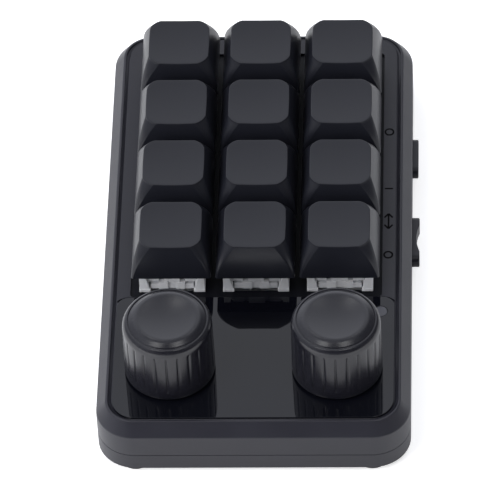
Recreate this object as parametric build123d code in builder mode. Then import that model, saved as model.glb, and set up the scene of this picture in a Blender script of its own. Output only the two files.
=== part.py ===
from build123d import *
from math import atan2, cos, degrees, hypot, pi, sqrt
import os

# Macro keypad: twelve keys and two push knobs in a two-shell case.
# Millimetres. X to the right, Y to the rear, Z up. The origin lies on the desk
# under the middle of the case, and the round feet stand on Z = 0.

# Key field
key_spacing = 19.05
key_columns = 3
key_rows = 4

# Case shells
rail_width = 2.9
rear_rail_width = 4.6
groove_width = 0.5
side_groove_width = 0.85
rim_width = 0.6
bevel_run = 2.25
bevel_rise = 3.2
upper_wall_height = 6.0
lower_shell_height = 4.35
case_corner_radius = 8.7
wall_thickness = 2.0
floor_thickness = 2.0
ledge_thickness = 1.5
ledge_inset = 0.6
ledge_front_width = 2.6

# Feet and case screws
foot_radius = 4.0
foot_height = 1.5
foot_side_inset = 8.65
foot_end_inset = 4.9
screw_radius = 1.0
screw_head_radius = 1.9
screw_head_height = 1.2
screw_length = 6.0
screw_clearance = 0.15
screw_head_clearance = 0.3
screw_head_depth = 1.5
boss_radius = 2.5
boss_embed = 0.3
boss_end_inset = 14.5
pilot_clearance = 0.05

# Gloss panel and its window
panel_length = 35.6
panel_thickness = 0.6
panel_rear_radius = 2.75
panel_clearance = 0.05
lens_radius = 1.5
lens_clearance = 0.05
lens_side_inset = 3.15
lens_rear_inset = 4.4
led_length = 1.6
led_width = 0.8
led_height = 0.7
led_side_inset = 2.4

# Switch plate and circuit board
plate_thickness = 1.5
plate_margin = 1.7
plate_clearance = 0.1
plate_drop = 0.6
well_corner_radius = 1.0
cutout_clearance = 0.1
board_depth = 5.0
board_thickness = 1.6
board_side_gap = 5.6
board_end_gap = 2.0
board_hole_clearance = 0.1
post_radius = 2.2
front_post_inset = 6.1

# Key switches
base_width = 13.8
base_floor = 1.5
base_wall = 1.6
flange_overlap = 0.8
flange_height = 1.0
flange_notch_width = 10.4
locating_pin_radius = 2.0
locating_pin_length = 3.3
locating_pin_floor = 0.5
hood_width = 14.2
hood_wall = 1.8
hood_height = 5.6
hood_inset = 1.6
hood_ceiling = 1.5
hood_recess_width = 8.6
hood_recess_depth = 1.2
spring_radius = 2.15
spring_wire = 0.35

# Key stems
key_travel = 4.0
stem_width = 7.2
stem_depth = 5.8
stem_clearance = 0.2
stem_shoulder_clearance = 0.6
stem_shoulder_height = 1.25
stem_gap = 0.05
pole_radius = 1.4
pole_clearance = 0.1
pole_lift = 0.1
cross_length = 4.1
cross_arm_x = 1.3
cross_arm_y = 1.15
cross_height = 3.6
cross_clearance = 0.03

# Keycaps
cap_base = 18.1
cap_base_radius = 1.2
cap_top = 14.0
cap_top_radius = 3.45
cap_height = 8.5
cap_lift = 6.3
cap_dish = 0.45
cap_wall = 1.3
cap_roof = 2.2
cap_draft = 1.7
cap_post_radius = 2.75
cap_corner_flats = 3

# Rotary encoders
encoder_spacing = 37.5
encoder_setback = 14.85
encoder_width = 12.0
encoder_depth = 12.4
encoder_base_height = 3.5
encoder_cover_height = 1.0
encoder_clearance = 0.4
bushing_radius = 3.5
bushing_height = 5.0
bushing_clearance = 0.3
rotor_radius = 4.7
rotor_height = 1.7
rotor_clearance = 0.3
rotor_gap = 0.1
shaft_radius = 3.0
shaft_flat = 1.5
shaft_sides = 16
shaft_clearance = 0.05
dome_radius = 2.6
dome_rest = 0.1
dome_floor = 0.5
dome_gap = 0.05
push_travel = 0.5

# Knobs
knob_gap = 0.2
knob_height = 16.45
knob_base_radius = 10.2
knob_waist_radius = 10.05
knob_shoulder_radius = 9.8
knob_shoulder_drop = 1.8
knob_waist_drop = 2.8
knob_ring_radius = 9.13
knob_ring_drop = 1.0
knob_crest_radius = 6.8
knob_crest_width = 0.2
knob_dish = 0.6
knob_roof = 2.8
knob_cavity_radius = 4.2
knob_cavity_depth = 4.0
flute_count = 24
flute_width = 0.65
flute_depth = 0.35
flute_top_drop = 3.0
flute_base_lift = 1.9

# Controls on the right wall
control_level = 6.2
control_gap = 0.3
control_flange = 1.2
control_flange_height = 4.6
control_flange_gap = 0.25
control_flange_margin = 2.0
switch_body_depth = 4.2
slider_length = 14.0
slider_height = 3.5
slider_proud = 1.75
slider_notch_length = 8.0
slider_notch_depth = 0.7
slider_place = 1.6
slider_travel = 2.0
lever_width = 1.5
lever_height = 1.6
lever_root = 1.8
lever_gap = 0.15
lever_seat = 0.7
slide_body_length = 8.7
button_length = 11.1
button_height = 3.4
button_proud = 1.4
button_place = 27.7
button_travel = 0.4
button_post = 2.4
plunger_width = 2.6
plunger_height = 1.4
plunger_reach = 1.5
plunger_root = 1.0
plunger_gap = 0.1
tact_body_length = 6.0

# Charging socket, controller and battery
socket_width = 8.94
socket_height = 3.16
socket_length = 7.3
socket_wall = 0.3
socket_recess = 0.5
socket_gap = 0.3
insulator_length = 2.2
insulator_clearance = 0.05
tongue_width = 6.7
tongue_thickness = 0.7
tongue_length = 4.4
chip_width = 8.0
chip_length = 12.0
chip_height = 1.0
battery_width = 20.0
battery_height = 3.2
battery_rear_gap = 2.0
battery_front_gap = 0.5

overrun = 1.0

# Sides of the small round pieces: those out of sight, and those that show under the case
hidden_sides = 6
screw_sides = 12
foot_sides = 16
lens_sides = 16

# Plan of the case, worked out from the key field outwards
well_width = key_columns * key_spacing
well_length = key_rows * key_spacing
edge_width = groove_width + rim_width + bevel_run
side_edge_width = side_groove_width + rim_width + bevel_run
cover_width = well_width + 2 * rail_width
cover_length = rear_rail_width + well_length + panel_length
case_width = cover_width + 2 * side_edge_width
case_length = cover_length + 2 * edge_width
seat_width = cover_width + 2 * side_groove_width
seat_length = cover_length + 2 * groove_width
seat_radius = case_corner_radius - bevel_run - rim_width
cover_radius = seat_radius - groove_width
inner_width = case_width - 2 * wall_thickness
inner_length = case_length - 2 * wall_thickness
inner_radius = case_corner_radius - wall_thickness
bevel_angle = degrees(atan2(bevel_run, bevel_rise))
panel_front = -cover_length / 2
panel_rear = panel_front + panel_length
panel_middle = panel_front + panel_length / 2
well_middle = panel_rear + well_length / 2
well_rear = panel_rear + well_length
plate_width = well_width + 2 * plate_margin
plate_length = well_length + 2 * plate_margin
ledge_opening_width = well_width + 2 * ledge_inset
ledge_front = panel_front + ledge_front_width
ledge_rear = well_rear + ledge_inset
board_width = inner_width - 2 * board_side_gap
board_length = inner_length - 2 * board_end_gap
foot_spacing_x = case_width - 2 * foot_side_inset
foot_spacing_y = case_length - 2 * foot_end_inset
screw_spacing_x = inner_width - 2 * (boss_radius - boss_embed)
screw_spacing_y = case_length - 2 * boss_end_inset

# Levels above the desk
case_bottom = foot_height
floor_level = case_bottom + floor_thickness
screw_seat = case_bottom + screw_head_depth
parting_level = case_bottom + lower_shell_height
bevel_level = parting_level + upper_wall_height
rim_level = bevel_level + bevel_rise
panel_bottom = rim_level - panel_thickness
plate_level = rim_level - plate_drop
ledge_level = plate_level - plate_thickness
ledge_bottom = ledge_level - ledge_thickness
board_level = plate_level - board_depth
board_bottom = board_level - board_thickness
flange_level = plate_level + flange_height
housing_level = flange_level + hood_height
ceiling_level = housing_level - hood_ceiling
cavity_level = board_level + base_floor
stem_level = ceiling_level - stem_shoulder_height
pole_bottom = board_level - locating_pin_length + locating_pin_floor + key_travel + pole_lift
cap_level = plate_level + cap_lift
cap_rim = cap_level + cap_height
cap_ceiling = cap_rim - cap_roof
encoder_cover_level = board_level + encoder_base_height
bushing_level = encoder_cover_level + encoder_cover_height
bushing_top = bushing_level + bushing_height
rotor_level = encoder_cover_level - rotor_gap - rotor_height
dome_level = board_level + dome_floor
dome_height = push_travel + dome_rest
shaft_bottom = dome_level + dome_height + dome_gap
knob_level = rim_level + push_travel + knob_gap
knob_top = knob_level + knob_height
shaft_top = knob_top - knob_roof

# Places of what repeats
key_places = [
    ((column - (key_columns - 1) / 2) * key_spacing, well_middle + ((key_rows - 1) / 2 - row) * key_spacing)
    for row in range(key_rows)
    for column in range(key_columns)
]
encoder_place = panel_front + encoder_setback
encoder_places = [(-encoder_spacing / 2, encoder_place), (encoder_spacing / 2, encoder_place)]
post_places = [
    (side * key_spacing / 2, well_middle + end * key_spacing) for side in (-1, 1) for end in (-1, 1)
] + [(0, panel_front + front_post_inset - post_radius)]
lens_place = (cover_width / 2 - lens_side_inset, panel_rear - lens_rear_inset)
led_place = (board_width / 2 - led_side_inset, panel_rear - lens_rear_inset)
right_wall = case_width / 2
rear_wall = case_length / 2
switch_face = inner_width / 2 - board_side_gap
flange_face = inner_width / 2 - control_flange_gap

os.makedirs("parts", exist_ok=True)


def save(builder, name):
    """Label a finished piece and write it under its own name."""
    builder.part.label = name
    export_step(builder.part, f"parts/{name}.step")


def key_plane(level):
    """Horizontal plane centred on the key field."""
    return Plane((0, well_middle, level))


def wall_plane(x, place):
    """Upright plane facing the right wall: its x runs along the case, its y upwards."""
    return Plane((x, place, control_level), x_dir=(0, 1, 0), z_dir=(1, 0, 0))


def rear_plane(y):
    """Upright plane facing the rear wall, centred on the charging socket."""
    return Plane((0, y, socket_level), x_dir=(-1, 0, 0), z_dir=(0, 1, 0))


def cap_reach(size, radius, turn):
    """Half the width of a round-cornered square across the corner flats that are turned by some degrees."""
    half_flat = Vector(radius, 0).rotate(Axis.Z, 45 / cap_corner_flats)
    corner = Vector(1, 1).rotate(Axis.Z, -turn) * (size / 2 - radius)
    return corner.X + half_flat.X


# Openings that both shells share, drawn on the walls that they pass through
slider_middle = slider_place - slider_travel / 2
socket_level = board_bottom - socket_height / 2
socket_mouth = rear_wall - socket_recess
with BuildSketch(wall_plane(right_wall + overrun, slider_middle)) as slider_opening:
    SlotOverall(slider_length + slider_travel + 2 * control_gap, slider_height + 2 * control_gap)
with BuildSketch(wall_plane(right_wall + overrun, button_place)) as button_opening:
    SlotOverall(button_length + 2 * control_gap, button_height + 2 * control_gap)
with BuildSketch(rear_plane(rear_wall + overrun)) as socket_opening:
    SlotOverall(socket_width + 2 * socket_gap, socket_height + 2 * socket_gap)
wall_openings = (slider_opening, button_opening, socket_opening)
opening_depth = -(wall_thickness + 2 * overrun)

# Lower case shell: floor, low walls, board posts and screw columns
with BuildPart() as bottom_case:
    with BuildSketch(Plane.XY.offset(case_bottom)):
        RectangleRounded(case_width, case_length, case_corner_radius)
    extrude(amount=lower_shell_height)
    with BuildSketch(Plane.XY.offset(floor_level)):
        RectangleRounded(inner_width, inner_length, inner_radius)
    extrude(amount=lower_shell_height - floor_thickness, mode=Mode.SUBTRACT)
    with BuildSketch(Plane.XY.offset(floor_level)):
        with Locations(*post_places):
            RegularPolygon(post_radius, hidden_sides)
    extrude(amount=board_bottom - floor_level)
    with BuildSketch(Plane.XY.offset(floor_level)):
        with GridLocations(screw_spacing_x, screw_spacing_y, 2, 2):
            RegularPolygon(boss_radius, hidden_sides)
    extrude(amount=parting_level - floor_level)
    with BuildSketch(Plane.XY.offset(case_bottom)):
        with GridLocations(screw_spacing_x, screw_spacing_y, 2, 2):
            RegularPolygon(screw_head_radius + screw_head_clearance, screw_sides)
    extrude(amount=screw_head_depth, mode=Mode.SUBTRACT)
    with BuildSketch(Plane.XY.offset(screw_seat)):
        with GridLocations(screw_spacing_x, screw_spacing_y, 2, 2):
            RegularPolygon(screw_radius + screw_clearance, hidden_sides)
    extrude(amount=parting_level - screw_seat, mode=Mode.SUBTRACT)
    for opening in wall_openings:
        extrude(opening.sketch, amount=opening_depth, mode=Mode.SUBTRACT)
save(bottom_case, "bottom_case")

# Rubber feet, glued under the case
with BuildPart() as foot_pads:
    with BuildSketch():
        with GridLocations(foot_spacing_x, foot_spacing_y, 2, 2):
            RegularPolygon(foot_radius, foot_sides)
    extrude(amount=foot_height)
save(foot_pads, "foot_pads")

# Case screws, heads sunk in the floor and shanks up into the frame's bosses
with BuildPart() as case_screws:
    with BuildSketch(Plane.XY.offset(screw_seat - screw_head_height)):
        with GridLocations(screw_spacing_x, screw_spacing_y, 2, 2):
            RegularPolygon(screw_head_radius, screw_sides)
    extrude(amount=screw_head_height)
    with BuildSketch(Plane.XY.offset(screw_seat)):
        with GridLocations(screw_spacing_x, screw_spacing_y, 2, 2):
            RegularPolygon(screw_radius, hidden_sides)
    extrude(amount=screw_length)
save(case_screws, "case_screws")

# Upper case frame: wall, bevelled rim, and a ledge that carries the plate and the cover
with BuildPart() as outer_frame:
    with BuildSketch(Plane.XY.offset(parting_level)):
        RectangleRounded(case_width, case_length, case_corner_radius)
    extrude(amount=upper_wall_height)
    with BuildSketch(Plane.XY.offset(bevel_level)):
        RectangleRounded(case_width, case_length, case_corner_radius)
    extrude(amount=bevel_rise, taper=bevel_angle)
    with BuildSketch(Plane.XY.offset(parting_level)):
        RectangleRounded(inner_width, inner_length, inner_radius)
    extrude(amount=ledge_bottom - parting_level, mode=Mode.SUBTRACT)
    with BuildSketch(Plane((0, (ledge_front + ledge_rear) / 2, ledge_bottom))):
        Rectangle(ledge_opening_width, ledge_rear - ledge_front)
    extrude(amount=ledge_thickness, mode=Mode.SUBTRACT)
    with BuildSketch(Plane.XY.offset(ledge_level)):
        RectangleRounded(seat_width, seat_length, seat_radius)
    extrude(amount=rim_level - ledge_level, mode=Mode.SUBTRACT)
    with BuildSketch(Plane.XY.offset(parting_level)):
        with GridLocations(screw_spacing_x, screw_spacing_y, 2, 2):
            RegularPolygon(boss_radius, hidden_sides)
    extrude(amount=ledge_bottom - parting_level)
    with BuildSketch(Plane.XY.offset(parting_level)):
        with GridLocations(screw_spacing_x, screw_spacing_y, 2, 2):
            RegularPolygon(screw_radius + pilot_clearance, hidden_sides)
    extrude(amount=ledge_bottom - parting_level, mode=Mode.SUBTRACT)
    for opening in wall_openings:
        extrude(opening.sketch, amount=opening_depth, mode=Mode.SUBTRACT)
save(outer_frame, "outer_frame")

# Outline of the gloss panel: large front corners beside the groove, small rear corners
with BuildSketch(Plane((0, panel_middle, panel_bottom))) as panel_outline:
    Rectangle(cover_width, panel_length)
    fillet(panel_outline.vertices().group_by(Axis.Y)[0], cover_radius)
    fillet(panel_outline.vertices().group_by(Axis.Y)[-1], panel_rear_radius)
with BuildSketch(Plane((0, panel_middle, panel_bottom))) as panel_pocket:
    Rectangle(cover_width + 2 * overrun, panel_length + 2 * panel_clearance)
    fillet(panel_pocket.vertices().group_by(Axis.Y)[-1], panel_rear_radius + overrun)

# Matte inner cover: rails round the key well, and a tray under the gloss panel
with BuildPart() as inner_cover:
    with BuildSketch(Plane.XY.offset(ledge_level)):
        RectangleRounded(cover_width, cover_length, cover_radius)
    extrude(amount=rim_level - ledge_level)
    with BuildSketch(key_plane(ledge_level)):
        RectangleRounded(well_width, well_length, well_corner_radius)
    extrude(amount=rim_level - ledge_level, mode=Mode.SUBTRACT)
    with BuildSketch(key_plane(ledge_level)):
        Rectangle(plate_width + 2 * plate_clearance, plate_length + 2 * plate_clearance)
    extrude(amount=plate_thickness, mode=Mode.SUBTRACT)
    extrude(panel_pocket.sketch, amount=panel_thickness, mode=Mode.SUBTRACT)
    with BuildSketch(Plane.XY.offset(ledge_level)):
        with Locations(*encoder_places):
            Rectangle(encoder_width + 2 * encoder_clearance, encoder_depth + 2 * encoder_clearance)
        with Locations(lens_place):
            RegularPolygon(lens_radius + lens_clearance, lens_sides)
    extrude(amount=panel_bottom - ledge_level, mode=Mode.SUBTRACT)
save(inner_cover, "inner_cover")

# Gloss front panel, a thin sheet laid in the tray
with BuildPart() as gloss_panel:
    extrude(panel_outline.sketch, amount=panel_thickness)
    with BuildSketch(Plane.XY.offset(panel_bottom)):
        with Locations(*encoder_places):
            RegularPolygon(bushing_radius + bushing_clearance, shaft_sides)
        with Locations(lens_place):
            RegularPolygon(lens_radius + lens_clearance, lens_sides)
    extrude(amount=panel_thickness, mode=Mode.SUBTRACT)
save(gloss_panel, "gloss_panel")

# Round window of the status light, through tray and panel
with BuildPart() as status_window:
    with BuildSketch(Plane(lens_place + (ledge_level,))):
        RegularPolygon(lens_radius, lens_sides)
    extrude(amount=rim_level - ledge_level)
save(status_window, "status_window")

# Status light on the board below the window
with BuildPart() as status_light:
    with BuildSketch(Plane(led_place + (board_level,))):
        Rectangle(led_length, led_width)
    extrude(amount=led_height)
save(status_light, "status_light")

# Switch plate with one square cut-out for each key
cutout_width = base_width + 2 * cutout_clearance
with BuildPart() as switch_plate:
    with BuildSketch(key_plane(ledge_level)):
        Rectangle(plate_width, plate_length)
        with GridLocations(key_spacing, key_spacing, key_columns, key_rows):
            Rectangle(cutout_width, cutout_width, mode=Mode.SUBTRACT)
    extrude(amount=plate_thickness)
save(switch_plate, "switch_plate")

# Circuit board with a locating hole under each switch
with BuildPart() as circuit_board:
    with BuildSketch(Plane.XY.offset(board_bottom)):
        Rectangle(board_width, board_length)
    extrude(amount=board_thickness)
    with BuildSketch(key_plane(board_bottom)):
        with GridLocations(key_spacing, key_spacing, key_columns, key_rows):
            RegularPolygon(locating_pin_radius + board_hole_clearance, hidden_sides)
    extrude(amount=board_thickness, mode=Mode.SUBTRACT)
save(circuit_board, "circuit_board")

# Switch bases: a tub through the plate, a flange notched at front and rear, a hollow locating pin below
base_cavity_width = base_width - 2 * base_wall
flange_width = cutout_width + 2 * flange_overlap
with BuildPart() as switch_bases:
    with BuildSketch(key_plane(board_level)):
        with GridLocations(key_spacing, key_spacing, key_columns, key_rows):
            Rectangle(base_width, base_width)
    extrude(amount=board_depth)
    with BuildSketch(key_plane(plate_level)):
        with GridLocations(key_spacing, key_spacing, key_columns, key_rows):
            Rectangle(flange_width, flange_width)
            with GridLocations(0, flange_width, 1, 2):
                Rectangle(flange_notch_width, flange_width - base_width, mode=Mode.SUBTRACT)
    extrude(amount=flange_height)
    with BuildSketch(key_plane(board_level)):
        with GridLocations(key_spacing, key_spacing, key_columns, key_rows):
            RegularPolygon(locating_pin_radius, hidden_sides)
    extrude(amount=-locating_pin_length)
    with BuildSketch(key_plane(cavity_level)):
        with GridLocations(key_spacing, key_spacing, key_columns, key_rows):
            Rectangle(base_cavity_width, base_cavity_width)
    extrude(amount=flange_level - cavity_level, mode=Mode.SUBTRACT)
    with BuildSketch(key_plane(cavity_level)):
        with GridLocations(key_spacing, key_spacing, key_columns, key_rows):
            RegularPolygon(pole_radius + pole_clearance, hidden_sides)
    extrude(amount=-(base_floor + locating_pin_length - locating_pin_floor), mode=Mode.SUBTRACT)
save(switch_bases, "switch_bases")

# Switch tops: drafted hoods with a stem window and recessed front and rear faces
hood_cavity_width = hood_width - 2 * hood_wall
hood_angle = degrees(atan2(hood_inset, hood_height))
with BuildPart() as switch_tops:
    with BuildSketch(key_plane(flange_level)):
        with GridLocations(key_spacing, key_spacing, key_columns, key_rows):
            Rectangle(hood_width, hood_width)
    extrude(amount=hood_height, taper=hood_angle)
    with BuildSketch(key_plane(flange_level)):
        with GridLocations(key_spacing, key_spacing, key_columns, key_rows):
            Rectangle(hood_cavity_width, hood_cavity_width)
    extrude(amount=ceiling_level - flange_level, mode=Mode.SUBTRACT)
    with BuildSketch(key_plane(ceiling_level)):
        with GridLocations(key_spacing, key_spacing, key_columns, key_rows):
            Rectangle(stem_width + 2 * stem_clearance, stem_depth + 2 * stem_clearance)
    extrude(amount=hood_ceiling, mode=Mode.SUBTRACT)
    with BuildSketch(key_plane(flange_level)):
        with GridLocations(key_spacing, key_spacing, key_columns, key_rows):
            with GridLocations(0, hood_width, 1, 2):
                Rectangle(hood_recess_width, 2 * hood_recess_depth)
    extrude(amount=hood_height, mode=Mode.SUBTRACT)
save(switch_tops, "switch_tops")

# Return springs, drawn as the sleeves that their turns fill
with BuildPart() as key_springs:
    with BuildSketch(key_plane(cavity_level)):
        with GridLocations(key_spacing, key_spacing, key_columns, key_rows):
            RegularPolygon(spring_radius, hidden_sides)
            RegularPolygon(spring_radius - spring_wire, hidden_sides, mode=Mode.SUBTRACT)
    extrude(amount=stem_level - cavity_level)
save(key_springs, "key_springs")

# Keycaps and stems, one of each for every key
cap_rim_corner = hypot(cap_top, cap_top) / 2 - cap_top_radius * (sqrt(2) - 1)
cap_dish_radius = (cap_rim_corner**2 + cap_dish**2) / (2 * cap_dish)
cap_cavity = cap_base - 2 * cap_wall
cap_flat_turns = [(flat + 0.5) * 90 / cap_corner_flats for flat in range(cap_corner_flats)]
stem_shoulder_width = hood_cavity_width - 2 * stem_shoulder_clearance
cap_cavity_angle = degrees(atan2(cap_draft, cap_ceiling - cap_level))
for number, (key_x, key_y) in enumerate(key_places, start=1):
    with BuildPart() as keycap:
        with BuildSketch(Plane((key_x, key_y, cap_level))):
            Rectangle(cap_base, cap_base)
        extrude(amount=cap_height, taper=degrees(atan2((cap_base - cap_top) / 2, cap_height)))
        for turn in cap_flat_turns:
            base_reach = cap_reach(cap_base, cap_base_radius, turn)
            lean = base_reach - cap_reach(cap_top, cap_top_radius, turn)
            with BuildSketch(Plane((key_x, key_y, cap_level))):
                Rectangle(2 * base_reach, 2 * base_reach, rotation=turn)
            extrude(amount=cap_height, taper=degrees(atan2(lean, cap_height)), mode=Mode.INTERSECT)
        with Locations((key_x, key_y, cap_rim - cap_dish + cap_dish_radius)):
            Sphere(cap_dish_radius, rotation=(90, 0, 0), mode=Mode.SUBTRACT)
        with BuildSketch(Plane((key_x, key_y, cap_level))):
            Rectangle(cap_cavity, cap_cavity)
        extrude(amount=cap_ceiling - cap_level, taper=cap_cavity_angle, mode=Mode.SUBTRACT)
        with BuildSketch(Plane((key_x, key_y, housing_level))):
            RegularPolygon(cap_post_radius, hidden_sides)
        extrude(amount=cap_ceiling - housing_level)
        with BuildSketch(Plane((key_x, key_y, housing_level))):
            Rectangle(cross_length + 2 * cross_clearance, cross_arm_y + 2 * cross_clearance)
            Rectangle(cross_arm_x + 2 * cross_clearance, cross_length + 2 * cross_clearance)
        extrude(amount=cross_height + cross_clearance, mode=Mode.SUBTRACT)
    save(keycap, f"keycap_{number}")

    with BuildPart() as stem:
        with BuildSketch(Plane((key_x, key_y, stem_level))):
            Rectangle(stem_shoulder_width, stem_depth)
        extrude(amount=stem_shoulder_height - stem_gap)
        with BuildSketch(Plane((key_x, key_y, stem_level))):
            Rectangle(stem_width, stem_depth)
        extrude(amount=housing_level - stem_level)
        with BuildSketch(Plane((key_x, key_y, pole_bottom))):
            RegularPolygon(pole_radius, hidden_sides)
        extrude(amount=stem_level - pole_bottom)
        with BuildSketch(Plane((key_x, key_y, housing_level))):
            Rectangle(cross_length, cross_arm_y)
            Rectangle(cross_arm_x, cross_length)
        extrude(amount=cross_height)
    save(stem, f"stem_{number}")

# Encoder bases on the board, with room for the rotor and the snap dome
rotor_bore = rotor_radius + rotor_clearance
shaft_room = shaft_radius + rotor_clearance
with BuildPart() as encoder_bases:
    with BuildSketch(Plane.XY.offset(board_level)):
        with Locations(*encoder_places):
            Rectangle(encoder_width, encoder_depth)
    extrude(amount=encoder_base_height)
    with BuildSketch(Plane.XY.offset(rotor_level - rotor_gap)):
        with Locations(*encoder_places):
            Rectangle(2 * rotor_bore, 2 * rotor_bore)
    extrude(amount=encoder_cover_level - rotor_level + rotor_gap, mode=Mode.SUBTRACT)
    with BuildSketch(Plane.XY.offset(dome_level)):
        with Locations(*encoder_places):
            Rectangle(2 * shaft_room, 2 * shaft_room)
    extrude(amount=rotor_level - dome_level, mode=Mode.SUBTRACT)
save(encoder_bases, "encoder_bases")

# Encoder covers: metal plate and bushing in one
with BuildPart() as encoder_covers:
    with BuildSketch(Plane.XY.offset(encoder_cover_level)):
        with Locations(*encoder_places):
            Rectangle(encoder_width, encoder_depth)
    extrude(amount=encoder_cover_height)
    with BuildSketch(Plane.XY.offset(bushing_level)):
        with Locations(*encoder_places):
            RegularPolygon(bushing_radius, shaft_sides)
    extrude(amount=bushing_height)
    with BuildSketch(Plane.XY.offset(encoder_cover_level)):
        with Locations(*encoder_places):
            RegularPolygon(shaft_radius + shaft_clearance, shaft_sides, major_radius=False)
    extrude(amount=bushing_top - encoder_cover_level, mode=Mode.SUBTRACT)
save(encoder_covers, "encoder_covers")

# Snap domes under the shafts
with BuildPart() as encoder_domes:
    with BuildSketch(Plane.XY.offset(dome_level)):
        with Locations(*encoder_places):
            RegularPolygon(dome_radius, hidden_sides)
    extrude(amount=dome_height)
save(encoder_domes, "encoder_domes")

# Rotors, shafts and knobs: the shaft slides in its rotor and turns with it
knob_dish_reach = knob_crest_radius - knob_crest_width
knob_dish_radius = (knob_dish_reach**2 + knob_dish**2) / (2 * knob_dish)
knob_sections = (
    (knob_base_radius, 0),
    (knob_waist_radius, knob_height - knob_waist_drop),
    (knob_shoulder_radius, knob_height - knob_shoulder_drop),
    (knob_ring_radius, knob_height - knob_ring_drop),
    (knob_crest_radius, knob_height),
)
flat_block = 2 * shaft_radius
flat_place = shaft_flat + flat_block / 2
for side, (knob_x, knob_y) in zip(("left", "right"), encoder_places):
    with BuildPart() as rotor:
        with BuildSketch(Plane((knob_x, knob_y, rotor_level))):
            RegularPolygon(rotor_radius, shaft_sides)
        extrude(amount=rotor_height)
        with BuildSketch(Plane((knob_x, knob_y, rotor_level))):
            RegularPolygon(shaft_radius + shaft_clearance, shaft_sides)
            with Locations((0, flat_place + shaft_clearance)):
                Rectangle(flat_block, flat_block, mode=Mode.SUBTRACT)
        extrude(amount=rotor_height, mode=Mode.SUBTRACT)
    save(rotor, f"{side}_rotor")

    with BuildPart() as shaft:
        with BuildSketch(Plane((knob_x, knob_y, shaft_bottom))):
            RegularPolygon(shaft_radius, shaft_sides)
            with Locations((0, flat_place)):
                Rectangle(flat_block, flat_block, mode=Mode.SUBTRACT)
        extrude(amount=shaft_top - shaft_bottom)
    save(shaft, f"{side}_shaft")

    with BuildPart() as knob:
        for (low_radius, low), (high_radius, high) in zip(knob_sections, knob_sections[1:]):
            with BuildSketch(Plane((knob_x, knob_y, knob_level + low))):
                RegularPolygon(low_radius, flute_count)
            lean = (low_radius - high_radius) * cos(pi / flute_count)
            extrude(amount=high - low, taper=degrees(atan2(lean, high - low)))
        with Locations((knob_x, knob_y, knob_top - knob_dish + knob_dish_radius)):
            Sphere(knob_dish_radius, rotation=(90, 0, 0), mode=Mode.SUBTRACT)
        flute_length = knob_height - flute_top_drop - flute_base_lift
        with Locations((knob_x, knob_y, knob_level + flute_base_lift + flute_length / 2)):
            with PolarLocations(knob_base_radius, flute_count):
                Box(2 * flute_depth, flute_width, flute_length, mode=Mode.SUBTRACT)
        with BuildSketch(Plane((knob_x, knob_y, knob_level))):
            RegularPolygon(knob_cavity_radius, shaft_sides)
        extrude(amount=knob_cavity_depth, mode=Mode.SUBTRACT)
        with BuildSketch(Plane((knob_x, knob_y, knob_level))):
            RegularPolygon(shaft_radius + shaft_clearance, shaft_sides)
            with Locations((0, flat_place + shaft_clearance)):
                Rectangle(flat_block, flat_block, mode=Mode.SUBTRACT)
        extrude(amount=shaft_top - knob_level, mode=Mode.SUBTRACT)
    save(knob, f"{side}_knob")

# Slide switch under the board's right edge
lever_slot = lever_width + slider_travel + 2 * lever_gap
slide_body_height = 2 * (board_bottom - control_level)
with BuildPart() as slide_switch_body:
    with BuildSketch(wall_plane(switch_face, slider_middle)):
        Rectangle(slide_body_length, slide_body_height)
    extrude(amount=-switch_body_depth)
    with BuildSketch(wall_plane(switch_face, slider_middle)):
        Rectangle(lever_slot, lever_height + 2 * lever_gap)
    extrude(amount=-(lever_root + lever_gap), mode=Mode.SUBTRACT)
save(slide_switch_body, "slide_switch_body")

# Lever of the slide switch, reaching into the slide knob
flange_back = flange_face - control_flange
with BuildPart() as slide_switch_lever:
    with BuildSketch(wall_plane(switch_face - lever_root, slider_place)):
        Rectangle(lever_width, lever_height)
    extrude(amount=flange_back + lever_seat - switch_face + lever_root)
save(slide_switch_lever, "slide_switch_lever")

# Slide knob: thumb piece with a hollow, and a flange that keeps it behind the wall
notch_radius = ((slider_notch_length / 2) ** 2 + slider_notch_depth**2) / (2 * slider_notch_depth)
slider_face = right_wall + slider_proud
with BuildPart() as power_slider:
    with BuildSketch(wall_plane(flange_back, slider_place)):
        Rectangle(slider_length + slider_travel + 2 * control_flange_margin, control_flange_height)
    extrude(amount=control_flange)
    with BuildSketch(wall_plane(flange_face, slider_place)):
        SlotOverall(slider_length, slider_height)
    extrude(amount=slider_face - flange_face)
    with BuildSketch(Plane((slider_face - slider_notch_depth + notch_radius, slider_place, control_level))):
        Circle(notch_radius)
    extrude(amount=slider_height, both=True, mode=Mode.SUBTRACT)
    with BuildSketch(wall_plane(flange_back, slider_place)):
        Rectangle(lever_width, lever_height)
    extrude(amount=lever_seat, mode=Mode.SUBTRACT)
save(power_slider, "power_slider")

# Push switch under the board's right edge
with BuildPart() as push_switch_body:
    with BuildSketch(wall_plane(switch_face, button_place)):
        Rectangle(tact_body_length, slide_body_height)
    extrude(amount=-switch_body_depth)
    with BuildSketch(wall_plane(switch_face, button_place)):
        Rectangle(plunger_width + 2 * plunger_gap, plunger_height + 2 * plunger_gap)
    extrude(amount=-(plunger_root + button_travel + plunger_gap), mode=Mode.SUBTRACT)
save(push_switch_body, "push_switch_body")

# Plunger of the push switch
plunger_face = switch_face + plunger_reach
with BuildPart() as push_switch_plunger:
    with BuildSketch(wall_plane(switch_face - plunger_root, button_place)):
        Rectangle(plunger_width, plunger_height)
    extrude(amount=plunger_root + plunger_reach)
save(push_switch_plunger, "push_switch_plunger")

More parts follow.
